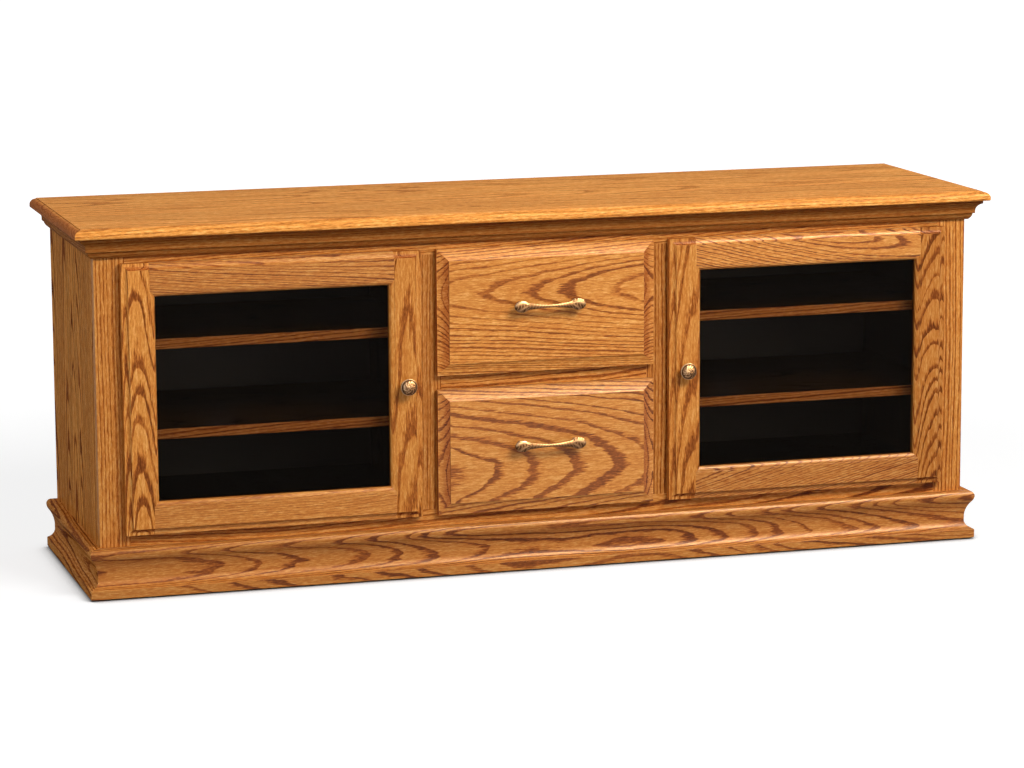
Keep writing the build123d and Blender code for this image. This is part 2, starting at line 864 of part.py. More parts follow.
bow_sections = (
    (0, neck_width, neck_thickness),
    (neck_share, bow_width, bow_thickness),
    (0.5, bow_width, bow_thickness),
    (1 - neck_share, bow_width, bow_thickness),
    (1, neck_width, neck_thickness),
)
slide_levels = []
for drawer, opening_low in (("upper", upper_opening_bottom), ("lower", opening_bottom)):
    box_bottom = opening_low + box_lift
    front_low = opening_low - front_overlay
    front_high = opening_low + drawer_opening_height + front_overlay

    with BuildPart() as drawer_front:
        fill((-half_front, half_front), (front_face, front_back), (front_low, front_high))
        chamfer(drawer_front.faces().sort_by(Axis.Y)[-1].edges(), back_edge_ease)
        rim, start = upright_rim((-half_front, half_front), (front_low, front_high), front_face)
        rout(rim, start, drawer_edge_section)
    save(drawer_front, f"{drawer}_drawer_front")

    with BuildPart() as box_sides:
        side_y = (front_back + box_thickness, box_back - box_thickness)
        side_z = (box_bottom, box_bottom + box_height)
        for start in (-half_box, half_box - box_thickness):
            fill((start, start + box_thickness), side_y, side_z)
        tails(box_bottom, Mode.ADD)
        box_floor(box_bottom, mode=Mode.SUBTRACT)
    save(box_sides, f"{drawer}_drawer_sides")

    with BuildPart() as box_ends:
        for start in (front_back, box_back - box_thickness):
            fill((-half_box, half_box), (start, start + box_thickness), side_z)
        tails(box_bottom, Mode.SUBTRACT)
        box_floor(box_bottom, mode=Mode.SUBTRACT)
    save(box_ends, f"{drawer}_drawer_ends")

    with BuildPart() as box_bottom_board:
        box_floor(box_bottom)
    save(box_bottom_board, f"{drawer}_drawer_bottom")

    slide_level = box_bottom + box_height / 2
    slide_levels.append(slide_level)
    save(slide_pair(middle_section, [slide_level]), f"{drawer}_slide_members")
    save(slide_pair(drawer_section, [slide_level]), f"{drawer}_drawer_rails")

    pull_level = (front_low + front_high) / 2 + pull_rise
    bow_front = front_face - pull_projection + bow_ring_radius
    lobe_y = bow_front + bow_rise
    bow_end = (pull_centres - lobe_length) / 2 + neck_overlap
    post_places = [(side * pull_centres / 2, pull_level) for side in (-1, 1)]
    with BuildPart() as pull:
        with BuildSketch(Plane.XZ.offset(-lobe_y - lobe_thickness / 2)):
            with Locations(*post_places):
                Ellipse(lobe_length / 2, lobe_width / 2)
        extrude(amount=lobe_thickness)
        fillet(pull.edges().filter_by(GeomType.ELLIPSE), lobe_round)
        with BuildSketch(front_plane):
            with Locations(*post_places):
                Circle(pull_rose_radius)
        extrude(amount=pull_rose_thickness)
        with BuildSketch(front_plane):
            with Locations(*post_places):
                Circle(pull_post_radius)
        extrude(amount=front_face - lobe_y)
        with BuildLine() as bow:
            ThreePointArc(
                (-bow_end, lobe_y, pull_level), (0, bow_front, pull_level), (bow_end, lobe_y, pull_level)
            )
        for share, width, thickness in bow_sections:
            with BuildSketch(Plane(origin=bow.line @ share, x_dir=(0, 0, 1), z_dir=bow.line % share)):
                Ellipse(width / 2, thickness / 2)
        loft()
        for share in bow_ring_shares:
            with BuildSketch(Plane(origin=bow.line @ share, z_dir=bow.line % share)):
                Circle(bow_ring_radius)
            extrude(amount=bow_ring_width / 2, both=True)
    save(pull, f"{drawer}_drawer_pull")

save(slide_pair(cabinet_section, slide_levels), "cabinet_slide_rails")
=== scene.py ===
# %% [markdown]
# # A solid oak television console
# The frame of the model is ready: every board, hinge and drawer stands at its real place and size.
# This lesson gives it its looks: oak whose grain follows each board, smoked glass, antique brass hardware,
# small screws and pads, and a plain studio. All lengths are in metres, with X to the right, Y to the back
# and Z up.

import math

import bmesh
import bpy
from mathutils import Matrix, Vector


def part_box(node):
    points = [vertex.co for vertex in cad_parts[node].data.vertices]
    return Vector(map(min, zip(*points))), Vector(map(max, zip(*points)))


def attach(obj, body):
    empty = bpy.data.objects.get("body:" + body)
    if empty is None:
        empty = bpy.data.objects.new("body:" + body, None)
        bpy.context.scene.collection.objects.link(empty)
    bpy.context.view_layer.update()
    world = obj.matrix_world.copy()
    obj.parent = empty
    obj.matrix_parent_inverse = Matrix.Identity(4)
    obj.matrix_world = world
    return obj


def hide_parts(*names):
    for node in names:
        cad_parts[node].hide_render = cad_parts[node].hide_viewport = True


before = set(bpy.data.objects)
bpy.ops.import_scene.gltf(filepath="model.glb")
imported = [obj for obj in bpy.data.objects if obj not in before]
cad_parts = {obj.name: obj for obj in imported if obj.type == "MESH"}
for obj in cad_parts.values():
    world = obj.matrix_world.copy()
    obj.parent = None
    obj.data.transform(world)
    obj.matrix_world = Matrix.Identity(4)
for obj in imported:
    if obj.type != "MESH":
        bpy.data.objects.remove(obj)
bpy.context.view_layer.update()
MM = 0.001
scene = bpy.context.scene

# %% [markdown]
# ## Small helpers for shader trees
# A shader tree is a graph: nodes make numbers and colours, links carry them along. Long trees are easier
# to read when one short call makes a node, sets its values and links its inputs. Every helper takes either
# a plain value or another node's output for each input.


# %% Helpers for shader nodes
def linear(*channels):
    """A colour written as 0 to 255 in sRGB, turned into the linear values that shaders use."""
    shares = [value / 255 for value in channels]
    return (*(share / 12.92 if share <= 0.04045 else ((share + 0.055) / 1.055) ** 2.4 for share in shares), 1.0)


def feed(tree, socket, value):
    """Put a value on a socket, or link another socket to it."""
    if isinstance(value, bpy.types.NodeSocket):
        tree.links.new(value, socket)
    else:
        socket.default_value = value


def fill(tree, node, inputs):
    """Feed several sockets of a node, each given by its name or number."""
    for socket, value in inputs.items():
        feed(tree, node.inputs[socket], value)


def add_node(tree, kind, inputs=None, **settings):
    """A new node with its settings and inputs."""
    node = tree.nodes.new(kind)
    for key, value in settings.items():
        setattr(node, key, value)
    fill(tree, node, inputs or {})
    return node


def math_node(tree, operation, *values, clamp=False):
    """One math node; returns its output."""
    node = add_node(tree, "ShaderNodeMath", dict(enumerate(values)), operation=operation, use_clamp=clamp)
    return node.outputs[0]


def step_between(tree, value, low, high, to_low=0.0, to_high=1.0):
    """A soft step: to_low below low, to_high above high."""
    inputs = dict(enumerate((value, low, high, to_low, to_high)))
    return add_node(tree, "ShaderNodeMapRange", inputs, interpolation_type="SMOOTHSTEP").outputs[0]


def vector_of(tree, *parts):
    """A vector from its three parts."""
    return add_node(tree, "ShaderNodeCombineXYZ", dict(enumerate(parts))).outputs[0]


def parts_of(tree, vector):
    """X, Y and Z of a vector."""
    return add_node(tree, "ShaderNodeSeparateXYZ", {0: vector}).outputs


def on_object(tree, kind="Object"):
    """The object's own coordinates, or its normal."""
    return tree.nodes.new("ShaderNodeTexCoord").outputs[kind]


def stretched(tree, parts, scales, shift=None):
    """A vector from three parts, each times its own scale; shift moves the first."""
    scaled = [math_node(tree, "MULTIPLY", part, scale) for part, scale in zip(parts, scales)]
    if shift is not None:
        scaled[0] = math_node(tree, "ADD", scaled[0], shift)
    return vector_of(tree, *scaled)


def noise(tree, vector, detail=2.0, roughness=0.5, colour=False):
    """Noise of scale 1; the vector carries the scale."""
    inputs = {"Scale": 1.0, "Detail": detail, "Roughness": roughness, "Vector": vector}
    return add_node(tree, "ShaderNodeTexNoise", inputs).outputs["Color" if colour else "Fac"]


def object_noise(tree, scales, detail, roughness):
    """Noise on the object's own coordinates; the scales count features in a metre along X, Y and Z."""
    return noise(tree, stretched(tree, parts_of(tree, on_object(tree)), scales), detail, roughness)


def split_colour(tree, colour):
    """The three channels of a colour."""
    return add_node(tree, "ShaderNodeSeparateColor", {0: colour}).outputs


def colour_ramp(tree, value, stops):
    """A colour ramp with stops of (place, colour)."""
    node = add_node(tree, "ShaderNodeValToRGB", {0: value})
    while len(node.color_ramp.elements) < len(stops):
        node.color_ramp.elements.new(0.5)
    for element, (place, colour) in zip(node.color_ramp.elements, stops):
        element.position = place
        element.color = colour
    return node.outputs[0]


def blend_colour(tree, kind, share, first, second):
    """Two colours mixed by a share; 6, 7 and 2 are the colour sockets of the node."""
    inputs = {0: share, 6: first, 7: second}
    return add_node(tree, "ShaderNodeMix", inputs, data_type="RGBA", blend_type=kind).outputs[2]


def dot_product(tree, first, second):
    """How far two directions agree: 1 if they are the same, 0 if they are square to each other."""
    inputs = {0: first, 1: second}
    return add_node(tree, "ShaderNodeVectorMath", inputs, operation="DOT_PRODUCT").outputs["Value"]


def bumped(tree, height, strength, distance, **normal):
    """A normal that follows small heights; distance is the real height of the relief."""
    inputs = {"Strength": strength, "Distance": distance, "Height": height, **normal}
    return add_node(tree, "ShaderNodeBump", inputs).outputs[0]


# %% [markdown]
# ## Oak as a solid
# A picture of wood wrapped round a board looks wrong at its edges. Real grain is a solid: a tree's growth
# rings are nested cones round the pith, and the board is cut out of them. So the oak here is a solid
# texture. For every point it works out the distance from a slightly wandering pith, and the fraction of a
# ring at that distance. Oak starts each ring with a band of large open pores, which hold the stain and
# look dark and ragged, and ends it with smooth light wood. Cut nearly along the rings, this gives the
# pointed arches of flat-sawn oak, and cut across them, straight lines.
#
# The group takes coordinates with X along the grain, Y across the board and Z into it. Its inputs say
# where the pith lies and how it drifts along the board, so that each board can be given its own figure.


# %% The oak node group
def build_oak_group():
    """Node group that turns board coordinates into oak colour, roughness and height."""
    tree = bpy.data.node_groups.new("oak_grain", "ShaderNodeTree")
    tree.interface.new_socket("Vector", in_out="INPUT", socket_type="NodeSocketVector")
    usual = {"Pith Across": 0.0, "Pith Depth": 0.06, "Drift Across": 0.0, "Drift Depth": 0.05,
             "Ring Width": 0.006, "Wander": 0.02, "Plank Width": 9.0, "Seed": 0.0, "Contrast": 1.0, "Tone": 1.0}
    for name, value in usual.items():
        tree.interface.new_socket(name, in_out="INPUT", socket_type="NodeSocketFloat").default_value = value
    for name, kind in (("Color", "Color"), ("Roughness", "Float"), ("Height", "Float")):
        tree.interface.new_socket(name, in_out="OUTPUT", socket_type=f"NodeSocket{kind}")
    given = tree.nodes.new("NodeGroupInput").outputs

    def calc(operation, *values, clamp=False):
        return math_node(tree, operation, *values, clamp=clamp)

    def total(first, *others):
        for other in others:
            first = calc("ADD", first, other)
        return first

    def times(first, *others):
        for other in others:
            first = calc("MULTIPLY", first, other)
        return first

    def swing(value, amount):
        """A noise between 0 and 1 turned into a swing to both sides."""
        return times(calc("SUBTRACT", value, 0.5), amount)

    def chances(value):
        """Three random numbers that belong to a value."""
        dice = add_node(tree, "ShaderNodeTexWhiteNoise", {"W": value}, noise_dimensions="1D")
        return split_colour(tree, dice.outputs["Color"])

    along, across, depth = parts_of(tree, given["Vector"])

    # Edge-glued boards: each plank gets its own chances, and only the middle one keeps the pith as it is set
    plank = calc("FLOOR", total(calc("DIVIDE", across, given["Plank Width"]), 0.5))
    chance_a, chance_b, chance_c = chances(total(times(given["Seed"], 17.31), plank))
    across = calc("SUBTRACT", across, times(plank, given["Plank Width"]))
    spread = calc("MINIMUM", given["Plank Width"], 0.12)
    not_middle = calc("MINIMUM", calc("ABSOLUTE", plank), 1.0)
    pith_shift = times(swing(chance_a, spread), not_middle)
    start = total(times(given["Seed"], 3.713), times(chance_c, 11.0))

    def grain_noise(lengthwise, crosswise, detail, roughness, later=None, colour=False):
        """Noise stretched along the grain; the scales count features in a metre."""
        shift = start if later is None else total(start, later)
        place = stretched(tree, (along, across, depth), (lengthwise, crosswise, crosswise), shift)
        return noise(tree, place, detail, roughness, colour)

    # The pith wanders slowly along the tree
    sway_a, sway_b, sway_c = split_colour(tree, grain_noise(1.6, 3.0, 1.0, 0.5, colour=True))
    wave, _, _ = split_colour(tree, grain_noise(9.0, 26.0, 2.0, 0.55, colour=True))
    reach = times(given["Wander"], 2.0)
    y_axis = total(given["Pith Across"], pith_shift, times(along, given["Drift Across"]))
    y_from = total(calc("SUBTRACT", across, y_axis), swing(sway_a, reach))
    z_axis = total(given["Pith Depth"], times(along, given["Drift Depth"]))
    z_from = total(calc("SUBTRACT", depth, z_axis), swing(sway_b, reach))
    radius = calc("SQRT", total(times(y_from, y_from), times(z_from, z_from)))
    radius = total(radius, total(swing(sway_c, 0.006), swing(wave, 0.0035)))

    # Rings of uneven width
    rings = calc("DIVIDE", radius, given["Ring Width"])
    uneven = noise(tree, stretched(tree, (rings, start, 0.0), (0.55, 1.0, 1.0)), 1.0, 0.5)
    rings = total(rings, times(uneven, 1.5))

    # Streaks along the grain make the pore bands ragged
    streak = grain_noise(78.0, 470.0, 3.0, 0.66)
    streak_long = grain_noise(8.0, 190.0, 2.0, 0.5)
    tear = grain_noise(34.0, 340.0, 2.0, 0.6, later=5.0)
    broken = grain_noise(105.0, 620.0, 2.0, 0.6, later=9.0)
    rings = total(rings, swing(streak_long, 0.22))
    part = calc("FRACT", rings)
    bold, wide, _ = chances(total(calc("FLOOR", rings), start))
    ragged = total(part, swing(tear, 0.72))
    band_end = total(0.19, times(wide, 0.22))
    band = step_between(tree, ragged, calc("SUBTRACT", band_end, 0.08), total(band_end, 0.13), 1.0, 0.0)
    rise = step_between(tree, part, 0.0, 0.07)
    band = times(band, rise, total(0.55, times(bold, 0.45)))
    steep = calc("DIVIDE", calc("ABSOLUTE", y_from), radius)
    band = times(band, step_between(tree, steep, 0.25, 0.95, 1.0, 0.80))
    band = times(band, step_between(tree, broken, 0.30, 0.66, 0.62, 1.16))

    # Fine pores, dense in the bands and rare between them
    pore_edge = calc("SUBTRACT", 0.66, times(band, 0.18))
    pores = step_between(tree, grain_noise(85.0, 1250.0, 1.0, 0.5), pore_edge, total(pore_edge, 0.07))

    # A darkness from 0 to 1 picks the stained tone
    dark = times(band, times(given["Contrast"], 0.66))
    dark = calc("ADD", total(dark, swing(streak, 0.95), swing(streak_long, 0.34)), 0.20, clamp=True)
    woods = ((0.0, linear(232, 170, 96)), (0.18, linear(211, 138, 63)), (0.36, linear(190, 112, 45)),
             (0.60, linear(147, 77, 29)), (1.0, linear(98, 47, 15)))
    colour = colour_ramp(tree, dark, woods)
    pore_share = times(pores, total(0.22, times(band, 0.40)))
    colour = blend_colour(tree, "MIX", pore_share, colour, linear(92, 44, 13))

    # Slow changes of tone over a board, and from plank to plank
    patch = grain_noise(2.3, 11.0, 2.0, 0.5)
    level = times(total(0.86, times(patch, 0.28)), total(0.95, times(chance_b, 0.10)), given["Tone"])

    # Stained oak gets redder where it gets darker
    channels = [times(channel, calc("POWER", level, power))
                for channel, power in zip(split_colour(tree, colour), (1.0, 1.2, 1.3))]
    add_node(tree, "NodeGroupOutput", {
        "Color": add_node(tree, "ShaderNodeCombineColor", dict(enumerate(channels))).outputs[0],
        "Roughness": total(0.40, times(band, 0.12), times(pores, 0.14), swing(patch, 0.10)),
        "Height": total(times(pores, -0.8), times(band, -0.5), times(streak, 0.12)),
    })
    return tree


oak_group = build_oak_group()
print("oak group nodes", len(oak_group.nodes))

# %% [markdown]
# ## A finish for each board
# Every board gets its own material, made of the same group. A Mapping node first turns the object's
# coordinates so that X runs along this board's grain, and puts the zero in the middle of the board. The
# stiles' grain is upright, the rails', the fronts' and the top's runs from side to side, and that of the
# pieces at the sides from front to back. A Bevel node rounds the light on the sharp corners, as sanding and
# lacquer do on real wood, and the difference between the rounded and the flat normal marks the edges. They
# are painted in a paler colour: partly wear, where the stain is a little thinner, and partly a painted
# highlight, which is strongest on the base. End grain soaks up more stain, and a thin clear coat makes the
# real shine.


# %% Board materials
AXES = {  # grain: which way the board's length, width and thickness run
    "upright": ((0, 0, 1), (1, 0, 0), (0, 1, 0)),
    "sideways": ((1, 0, 0), (0, 0, 1), (0, 1, 0)),
    "flat": ((1, 0, 0), (0, 1, 0), (0, 0, -1)),
    "upright_end": ((0, 0, 1), (0, 1, 0), (1, 0, 0)),
    "backwards": ((0, 1, 0), (0, 0, 1), (1, 0, 0)),
}
EDGE_ROUND = 0.7 * MM
SOAKED_END = linear(212, 186, 176)
# paler colour of the edges: partly wear, partly a painted highlight
PALE_EDGE_WEAR_AND_HIGHLIGHT = linear(222, 156, 84)
# near-black tint of faces that look into the cabinet: painted shade
PAINTED_SHADE_INSIDE = linear(58, 56, 56)


def centre_of(node):
    """Middle of a node's box."""
    low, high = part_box(node)
    return (low + high) / 2


def board_coordinates(tree, grain, node):
    """Object coordinates turned so that X runs along the grain, with zero at the board's centre."""
    turn = Matrix(AXES[grain])
    if turn.determinant() < 0:  # a mirrored turn is no turn, so the thickness runs the other way
        turn[2] = -turn[2]
    middle = turn @ centre_of(node)
    inputs = {"Vector": on_object(tree), "Rotation": turn.to_euler("XYZ"), "Location": -middle}
    return add_node(tree, "ShaderNodeMapping", inputs, vector_type="POINT").outputs[0]


def empty_material(name):
    """A material without any nodes, and its tree."""
    material = bpy.data.materials.new(name)
    material.use_nodes = True
    material.node_tree.nodes.clear()
    return material, material.node_tree


def fresh_material(name):
    """A material with a shader and an output."""
    material, tree = empty_material(name)
    shader = tree.nodes.new("ShaderNodeBsdfPrincipled")
    add_node(tree, "ShaderNodeOutputMaterial", {0: shader.outputs[0]})
    return material, tree, shader


def soft_edges(tree, width):
    """Rounded normal for sharp corners, and a mask that is 1 on them."""
    rounded = add_node(tree, "ShaderNodeBevel", {"Radius": width}, samples=4).outputs[0]
    flat = tree.nodes.new("ShaderNodeNewGeometry").outputs["Normal"]
    return rounded, step_between(tree, dot_product(tree, rounded, flat), 0.80, 0.985, 1.0, 0.0)


def facing(tree, axis, low, high, both_sides=False):
    """1 where the surface looks along an axis of the object, fading to 0."""
    value = dot_product(tree, on_object(tree, "Normal"), axis)
    if both_sides:
        value = math_node(tree, "ABSOLUTE", value)
    return step_between(tree, value, low, high)


def oak_material(node, grain, inner=None, gloss=0.13, gloss_spread=0.20, rubbed=0.40, stain=None, **figure):
    """Lacquered oak for one board; inner gives the axis of faces in painted shade and whether both sides get
    it, and the edge share mixes in a paler colour: partly wear, partly painted highlight.
    """
    material, tree, shader = fresh_material(f"oak_{node}")
    inputs = {key.replace("_", " ").title(): value for key, value in figure.items()}
    inputs["Vector"] = board_coordinates(tree, grain, node)
    group = add_node(tree, "ShaderNodeGroup", inputs, node_tree=oak_group)
    end_grain = facing(tree, AXES[grain][0], 0.08, 0.40, both_sides=True)
    colour = blend_colour(tree, "MULTIPLY", end_grain, group.outputs["Color"], SOAKED_END)
    if stain is not None:
        colour = blend_colour(tree, "MULTIPLY", 1.0, colour, stain)
    normal, edge = soft_edges(tree, EDGE_ROUND)
    # Edges are mixed towards a paler colour: partly wear, partly a painted highlight.
    colour = blend_colour(tree, "MIX", math_node(tree, "MULTIPLY", edge, rubbed), colour, PALE_EDGE_WEAR_AND_HIGHLIGHT)
    if inner is not None:
        axis, both_sides = inner
        # Faces that look into the cabinet are darkened to near black: painted shade for the dark inside.
        dark = blend_colour(tree, "MULTIPLY", 1.0, group.outputs["Color"], PAINTED_SHADE_INSIDE)
        colour = blend_colour(tree, "MIX", facing(tree, axis, 0.6, 0.8, both_sides), colour, dark)
    grainy = bumped(tree, group.outputs["Height"], 0.35, 0.15 * MM, Normal=normal)
    fill(tree, shader, {"Base Color": colour, "Roughness": group.outputs["Roughness"], "Normal": grainy,
                        "Coat Normal": grainy, "Specular IOR Level": 0.0, "Coat Weight": gloss,
                        "Coat Roughness": gloss_spread})
    return material


# %% [markdown]
# ## Which board has which figure
# The table below is the cutting list. The drawer fronts are flat-sawn, with bold arches that point left in
# the upper one and right in the lower one; the stiles of the case are straight-grained; three door rails
# have slanted grain, because they were sawn from beside a bend of the trunk; the base has long wandering
# arches; the top and the side panels are glued up from planks. For each board the table says where the pith
# was, how it drifts from end to end, how wide the rings are, how dark and how glossy the board is, and which
# of its faces look into the cabinet and get a near-black painted shade. Some tones are painted light and
# shade as well: the crown, the base front and two parts of the right door are darker, and the shelves lighter.


# %% Oak boards
def board(grain, **figure):
    """One line of the cutting list."""
    return grain, figure


STRAIGHT = {"tone": 0.91, "pith_across": 0.16, "pith_depth": 0.02, "drift_depth": 0.01, "ring_width": 0.007,
            "wander": 0.01}
DOOR_RAIL = {"gloss": 0.36, "gloss_spread": 0.28, "wander": 0.012, "pith_depth": 0.05}
boards = {
    "tabletop": board("flat", gloss=0.05, tone=1.20, pith_depth=0.15, drift_depth=0.02, plank_width=0.104,
                      contrast=0.24),
    # The crown's low tone is painted shade: it sits in the shadow of the top's overhang.
    "crown_front": board("sideways", gloss=0.06, tone=0.53, pith_across=0.08, pith_depth=0.03,
                         drift_depth=0.02, contrast=0.4),
    "bottom_panel": board("flat", inner=((0, 0, 1), False), pith_depth=0.10, plank_width=0.12),
    "top_stretchers": board("flat", inner=((0, 0, 1), True), pith_depth=0.08),
    # The base front's low tone is painted shade on its cove, and its strong edge share a painted highlight on
    # its arrises.
    "base_front": board("sideways", gloss=0.33, gloss_spread=0.30, rubbed=0.85, tone=0.75, pith_across=-0.004,
                        pith_depth=0.16, drift_across=0.012, drift_depth=-0.045, ring_width=0.0044,
                        wander=0.022, contrast=0.95),
    "base_back_rail": board("sideways", pith_depth=0.10),
    "frame_top_rail": board("sideways", tone=0.86, pith_across=0.05, pith_depth=0.05, drift_across=0.03,
                            ring_width=0.005),
    "frame_bottom_rail": board("sideways", tone=0.88, pith_across=0.07, drift_across=-0.02),
    "frame_drawer_rail": board("sideways", tone=0.92, pith_across=0.05),
    "left_door_hinge_stile": board("upright", contrast=0.85, pith_across=-0.004, pith_depth=0.045,
                                   drift_depth=0.055, ring_width=0.0038, wander=0.01),
    "left_door_knob_stile": board("upright", contrast=0.85, tone=0.95, pith_across=0.01, ring_width=0.007,
                                  wander=0.022),
    # Darker tone: painted shade towards the right end of the console.
    "right_door_hinge_stile": board("upright", tone=0.76, pith_across=0.014, pith_depth=0.075,
                                    drift_depth=0.095, ring_width=0.004, wander=0.016),
    "right_door_knob_stile": board("upright", contrast=0.75, tone=0.89, pith_across=0.02, drift_depth=0.04,
                                   wander=0.012),
    "left_door_top_rail": board("sideways", **DOOR_RAIL, tone=0.84, pith_across=0.06, drift_across=-0.12,
                                ring_width=0.0044),
    "left_door_bottom_rail": board("sideways", **DOOR_RAIL, tone=0.88, pith_across=0.07, ring_width=0.0036,
                                   contrast=0.36),
    "right_door_top_rail": board("sideways", **{**DOOR_RAIL, "pith_depth": 0.06}, tone=0.92,
                                 pith_across=0.05, drift_across=-0.26, drift_depth=0.06, ring_width=0.005,
                                 contrast=1.4),
    # Darker tone: painted shade towards the right end of the console.
    "right_door_bottom_rail": board("sideways", **DOOR_RAIL, tone=0.72, pith_across=0.07, drift_across=0.22,
                                    ring_width=0.004, contrast=1.05),
    "upper_drawer_front": board("sideways", gloss=0.26, gloss_spread=0.34, pith_across=0.030,
                                pith_depth=0.12, drift_depth=-0.055, ring_width=0.0045, wander=0.008,
                                contrast=0.86),
    "lower_drawer_front": board("sideways", gloss=0.50, gloss_spread=0.36, tone=0.93, pith_across=-0.040,
                                pith_depth=0.4, drift_depth=0.056, ring_width=0.0046, wander=0.006,
                                contrast=1.15),
}
for side, drift, inwards in (("left", 0.05, 1), ("right", -0.05, -1)):
    # The crown's sides are darkened by their tone too: painted shade under the top.
    boards[f"crown_{side}"] = board("backwards", gloss=0.03, tone=0.72, pith_across=0.09, pith_depth=0.03,
                                    contrast=0.7)
    boards[f"base_{side}"] = board("backwards", gloss=0.03, pith_depth=0.08, ring_width=0.007)
    boards[f"{side}_side_panel"] = board("upright_end", inner=((inwards, 0, 0), False), gloss=0.02,
                                         contrast=1.3, tone=1.09, pith_depth=0.07, drift_depth=drift,
                                         plank_width=0.113)
    boards[f"{side}_partition"] = board("upright_end", inner=((1, 0, 0), True), pith_depth=0.09,
                                        plank_width=0.11)
    boards[f"{side}_end_stile"] = board("upright", **STRAIGHT)
    boards[f"{side}_inner_stile"] = board("upright", **{**STRAIGHT, "tone": 0.82})
    boards[f"{side}_door_glass_stops"] = board("upright", **STRAIGHT)
    for level in ("upper", "lower"):
        # The shelves' raised tone is painted light: it keeps their front edges bright behind the dark glass.
        boards[f"{side}_{level}_shelf"] = board("flat", inner=((0, 0, 1), True), gloss=0.05, tone=1.30,
                                                stain=linear(255, 228, 220), pith_depth=0.10,
                                                plank_width=0.1, contrast=0.8)


def wear(node, material):
    """Give a frame node a material in place of its plain one."""
    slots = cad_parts[node].data.materials
    if len(slots):
        for index in range(len(slots)):
            slots[index] = material
    else:
        slots.append(material)


for number, (node, (grain, figure)) in enumerate(sorted(boards.items())):
    wear(node, oak_material(node, grain, seed=1.0 + number, **figure))
print("oak boards", len(boards))

# %% [markdown]
# ## Drawer wood, plywood, steel and nylon
# The drawer boxes are a pale, close-grained wood without stain, the back and the drawer bottoms are thin
# plywood. The inner face of the back is near black, a painted shade for the dark inside, while its bare rear
# face keeps the plywood colour. The hinges, slides and pins are bright zinc-plated steel, which is slightly
# blotchy and brushed along its length. The glides are off-white nylon. None of them is a flat colour: each has
# its own grain, cloud or scratches.


# %% Plain woods, steel and nylon
def shared(tree, first, first_share, second, second_share):
    """Two values added up, each by its share."""
    return math_node(tree, "ADD", math_node(tree, "MULTIPLY", first, first_share),
                     math_node(tree, "MULTIPLY", second, second_share))


def plain_wood_material(name, grain, node, light, dark, scale, rear=None):
    """Wood with a soft, fine grain; rear gives the two colours of a face that is left bare at the back."""
    material, tree, shader = fresh_material(name)
    parts = parts_of(tree, board_coordinates(tree, grain, node))
    wide = noise(tree, stretched(tree, parts, (2.5, 26.0 * scale, 26.0 * scale)), 3.0, 0.55)
    fine = noise(tree, stretched(tree, parts, (22.0, 520.0, 520.0)), 2.0, 0.6)
    value = shared(tree, wide, 0.7, fine, 0.35)
    colour = colour_ramp(tree, value, ((0.3, light), (0.75, dark)))
    if rear is not None:
        bare = colour_ramp(tree, value, ((0.3, rear[0]), (0.75, rear[1])))
        colour = blend_colour(tree, "MIX", facing(tree, (0, 1, 0), 0.5, 0.8), colour, bare)
    normal, _ = soft_edges(tree, EDGE_ROUND)
    fill(tree, shader, {"Base Color": colour, "Roughness": step_between(tree, fine, 0.2, 0.8, 0.42, 0.58),
                        "Normal": bumped(tree, fine, 0.2, 0.1 * MM, Normal=normal)})
    return material


SPECKLE = 260.0  # specks of the fine cloud per metre
BROAD_CLOUD = 40.0


def speckled_material(name, dark, light, metallic, rough_low, rough_high, brushed=(1.0, 1.0, 1.0)):
    """Metal or plastic with a fine cloud in its colour and roughness; brushed stretches it along X, Y or Z."""
    material, tree, shader = fresh_material(name)
    cloud = object_noise(tree, [SPECKLE * share for share in brushed], 3.0, 0.6)
    wide = object_noise(tree, [BROAD_CLOUD] * 3, 2.0, 0.5)
    mixed = shared(tree, cloud, 0.55, wide, 0.45)
    fill(tree, shader, {"Base Color": colour_ramp(tree, mixed, ((0.3, dark), (0.7, light))),
                        "Metallic": metallic,
                        "Roughness": step_between(tree, mixed, 0.3, 0.7, rough_low, rough_high),
                        "Normal": bumped(tree, cloud, 0.15, 0.05 * MM)})
    return material


tan, pale, paler = linear(184, 146, 98), linear(196, 160, 112), linear(222, 190, 144)
for drawer in ("upper_drawer", "lower_drawer"):
    for name, grain in (("sides", "backwards"), ("ends", "sideways")):
        node = f"{drawer}_{name}"
        wear(node, plain_wood_material(f"maple_{node}", grain, node, paler, pale, 1.0))
    node = f"{drawer}_bottom"
    wear(node, plain_wood_material(f"plywood_{node}", "flat", node, paler, tan, 0.6))
# The inside of the back is near black: painted shade for the dark inside of the cabinet.
wear("back_panel", plain_wood_material("plywood_back", "sideways", "back_panel", linear(62, 44, 32),
                                       linear(40, 28, 20), 0.5,
                                       rear=(linear(204, 168, 120), linear(166, 126, 82))))
steel = speckled_material("zinc_steel", linear(150, 150, 150), linear(205, 205, 202), 1.0, 0.25, 0.42,
                          brushed=(0.3, 0.15, 1.0))
nylon = speckled_material("glide_nylon", linear(196, 192, 182), linear(214, 211, 202), 0.0, 0.45, 0.6)
rubber = speckled_material("bumper_rubber", linear(150, 146, 138), linear(176, 172, 164), 0.0, 0.5, 0.7)
for node in ("hinge_arms", "left_door_hinge_cups", "right_door_hinge_cups", "cabinet_slide_rails",
             "shelf_pins", "upper_slide_members", "lower_slide_members", "upper_drawer_rails",
             "lower_drawer_rails"):
    wear(node, steel)
wear("floor_glides", nylon)

# %% [markdown]
# ## Smoked glass
# The door panes are smoked glass: nearly black from outside, because the cabinet is dark inside, yet the
# front edges of the shelves show through. Real refraction would add nothing to a flat pane, so the glass is
# a thin dark film that lets most of the light straight through and reflects very little, with a whisper of
# dust and fingerprints in its roughness.


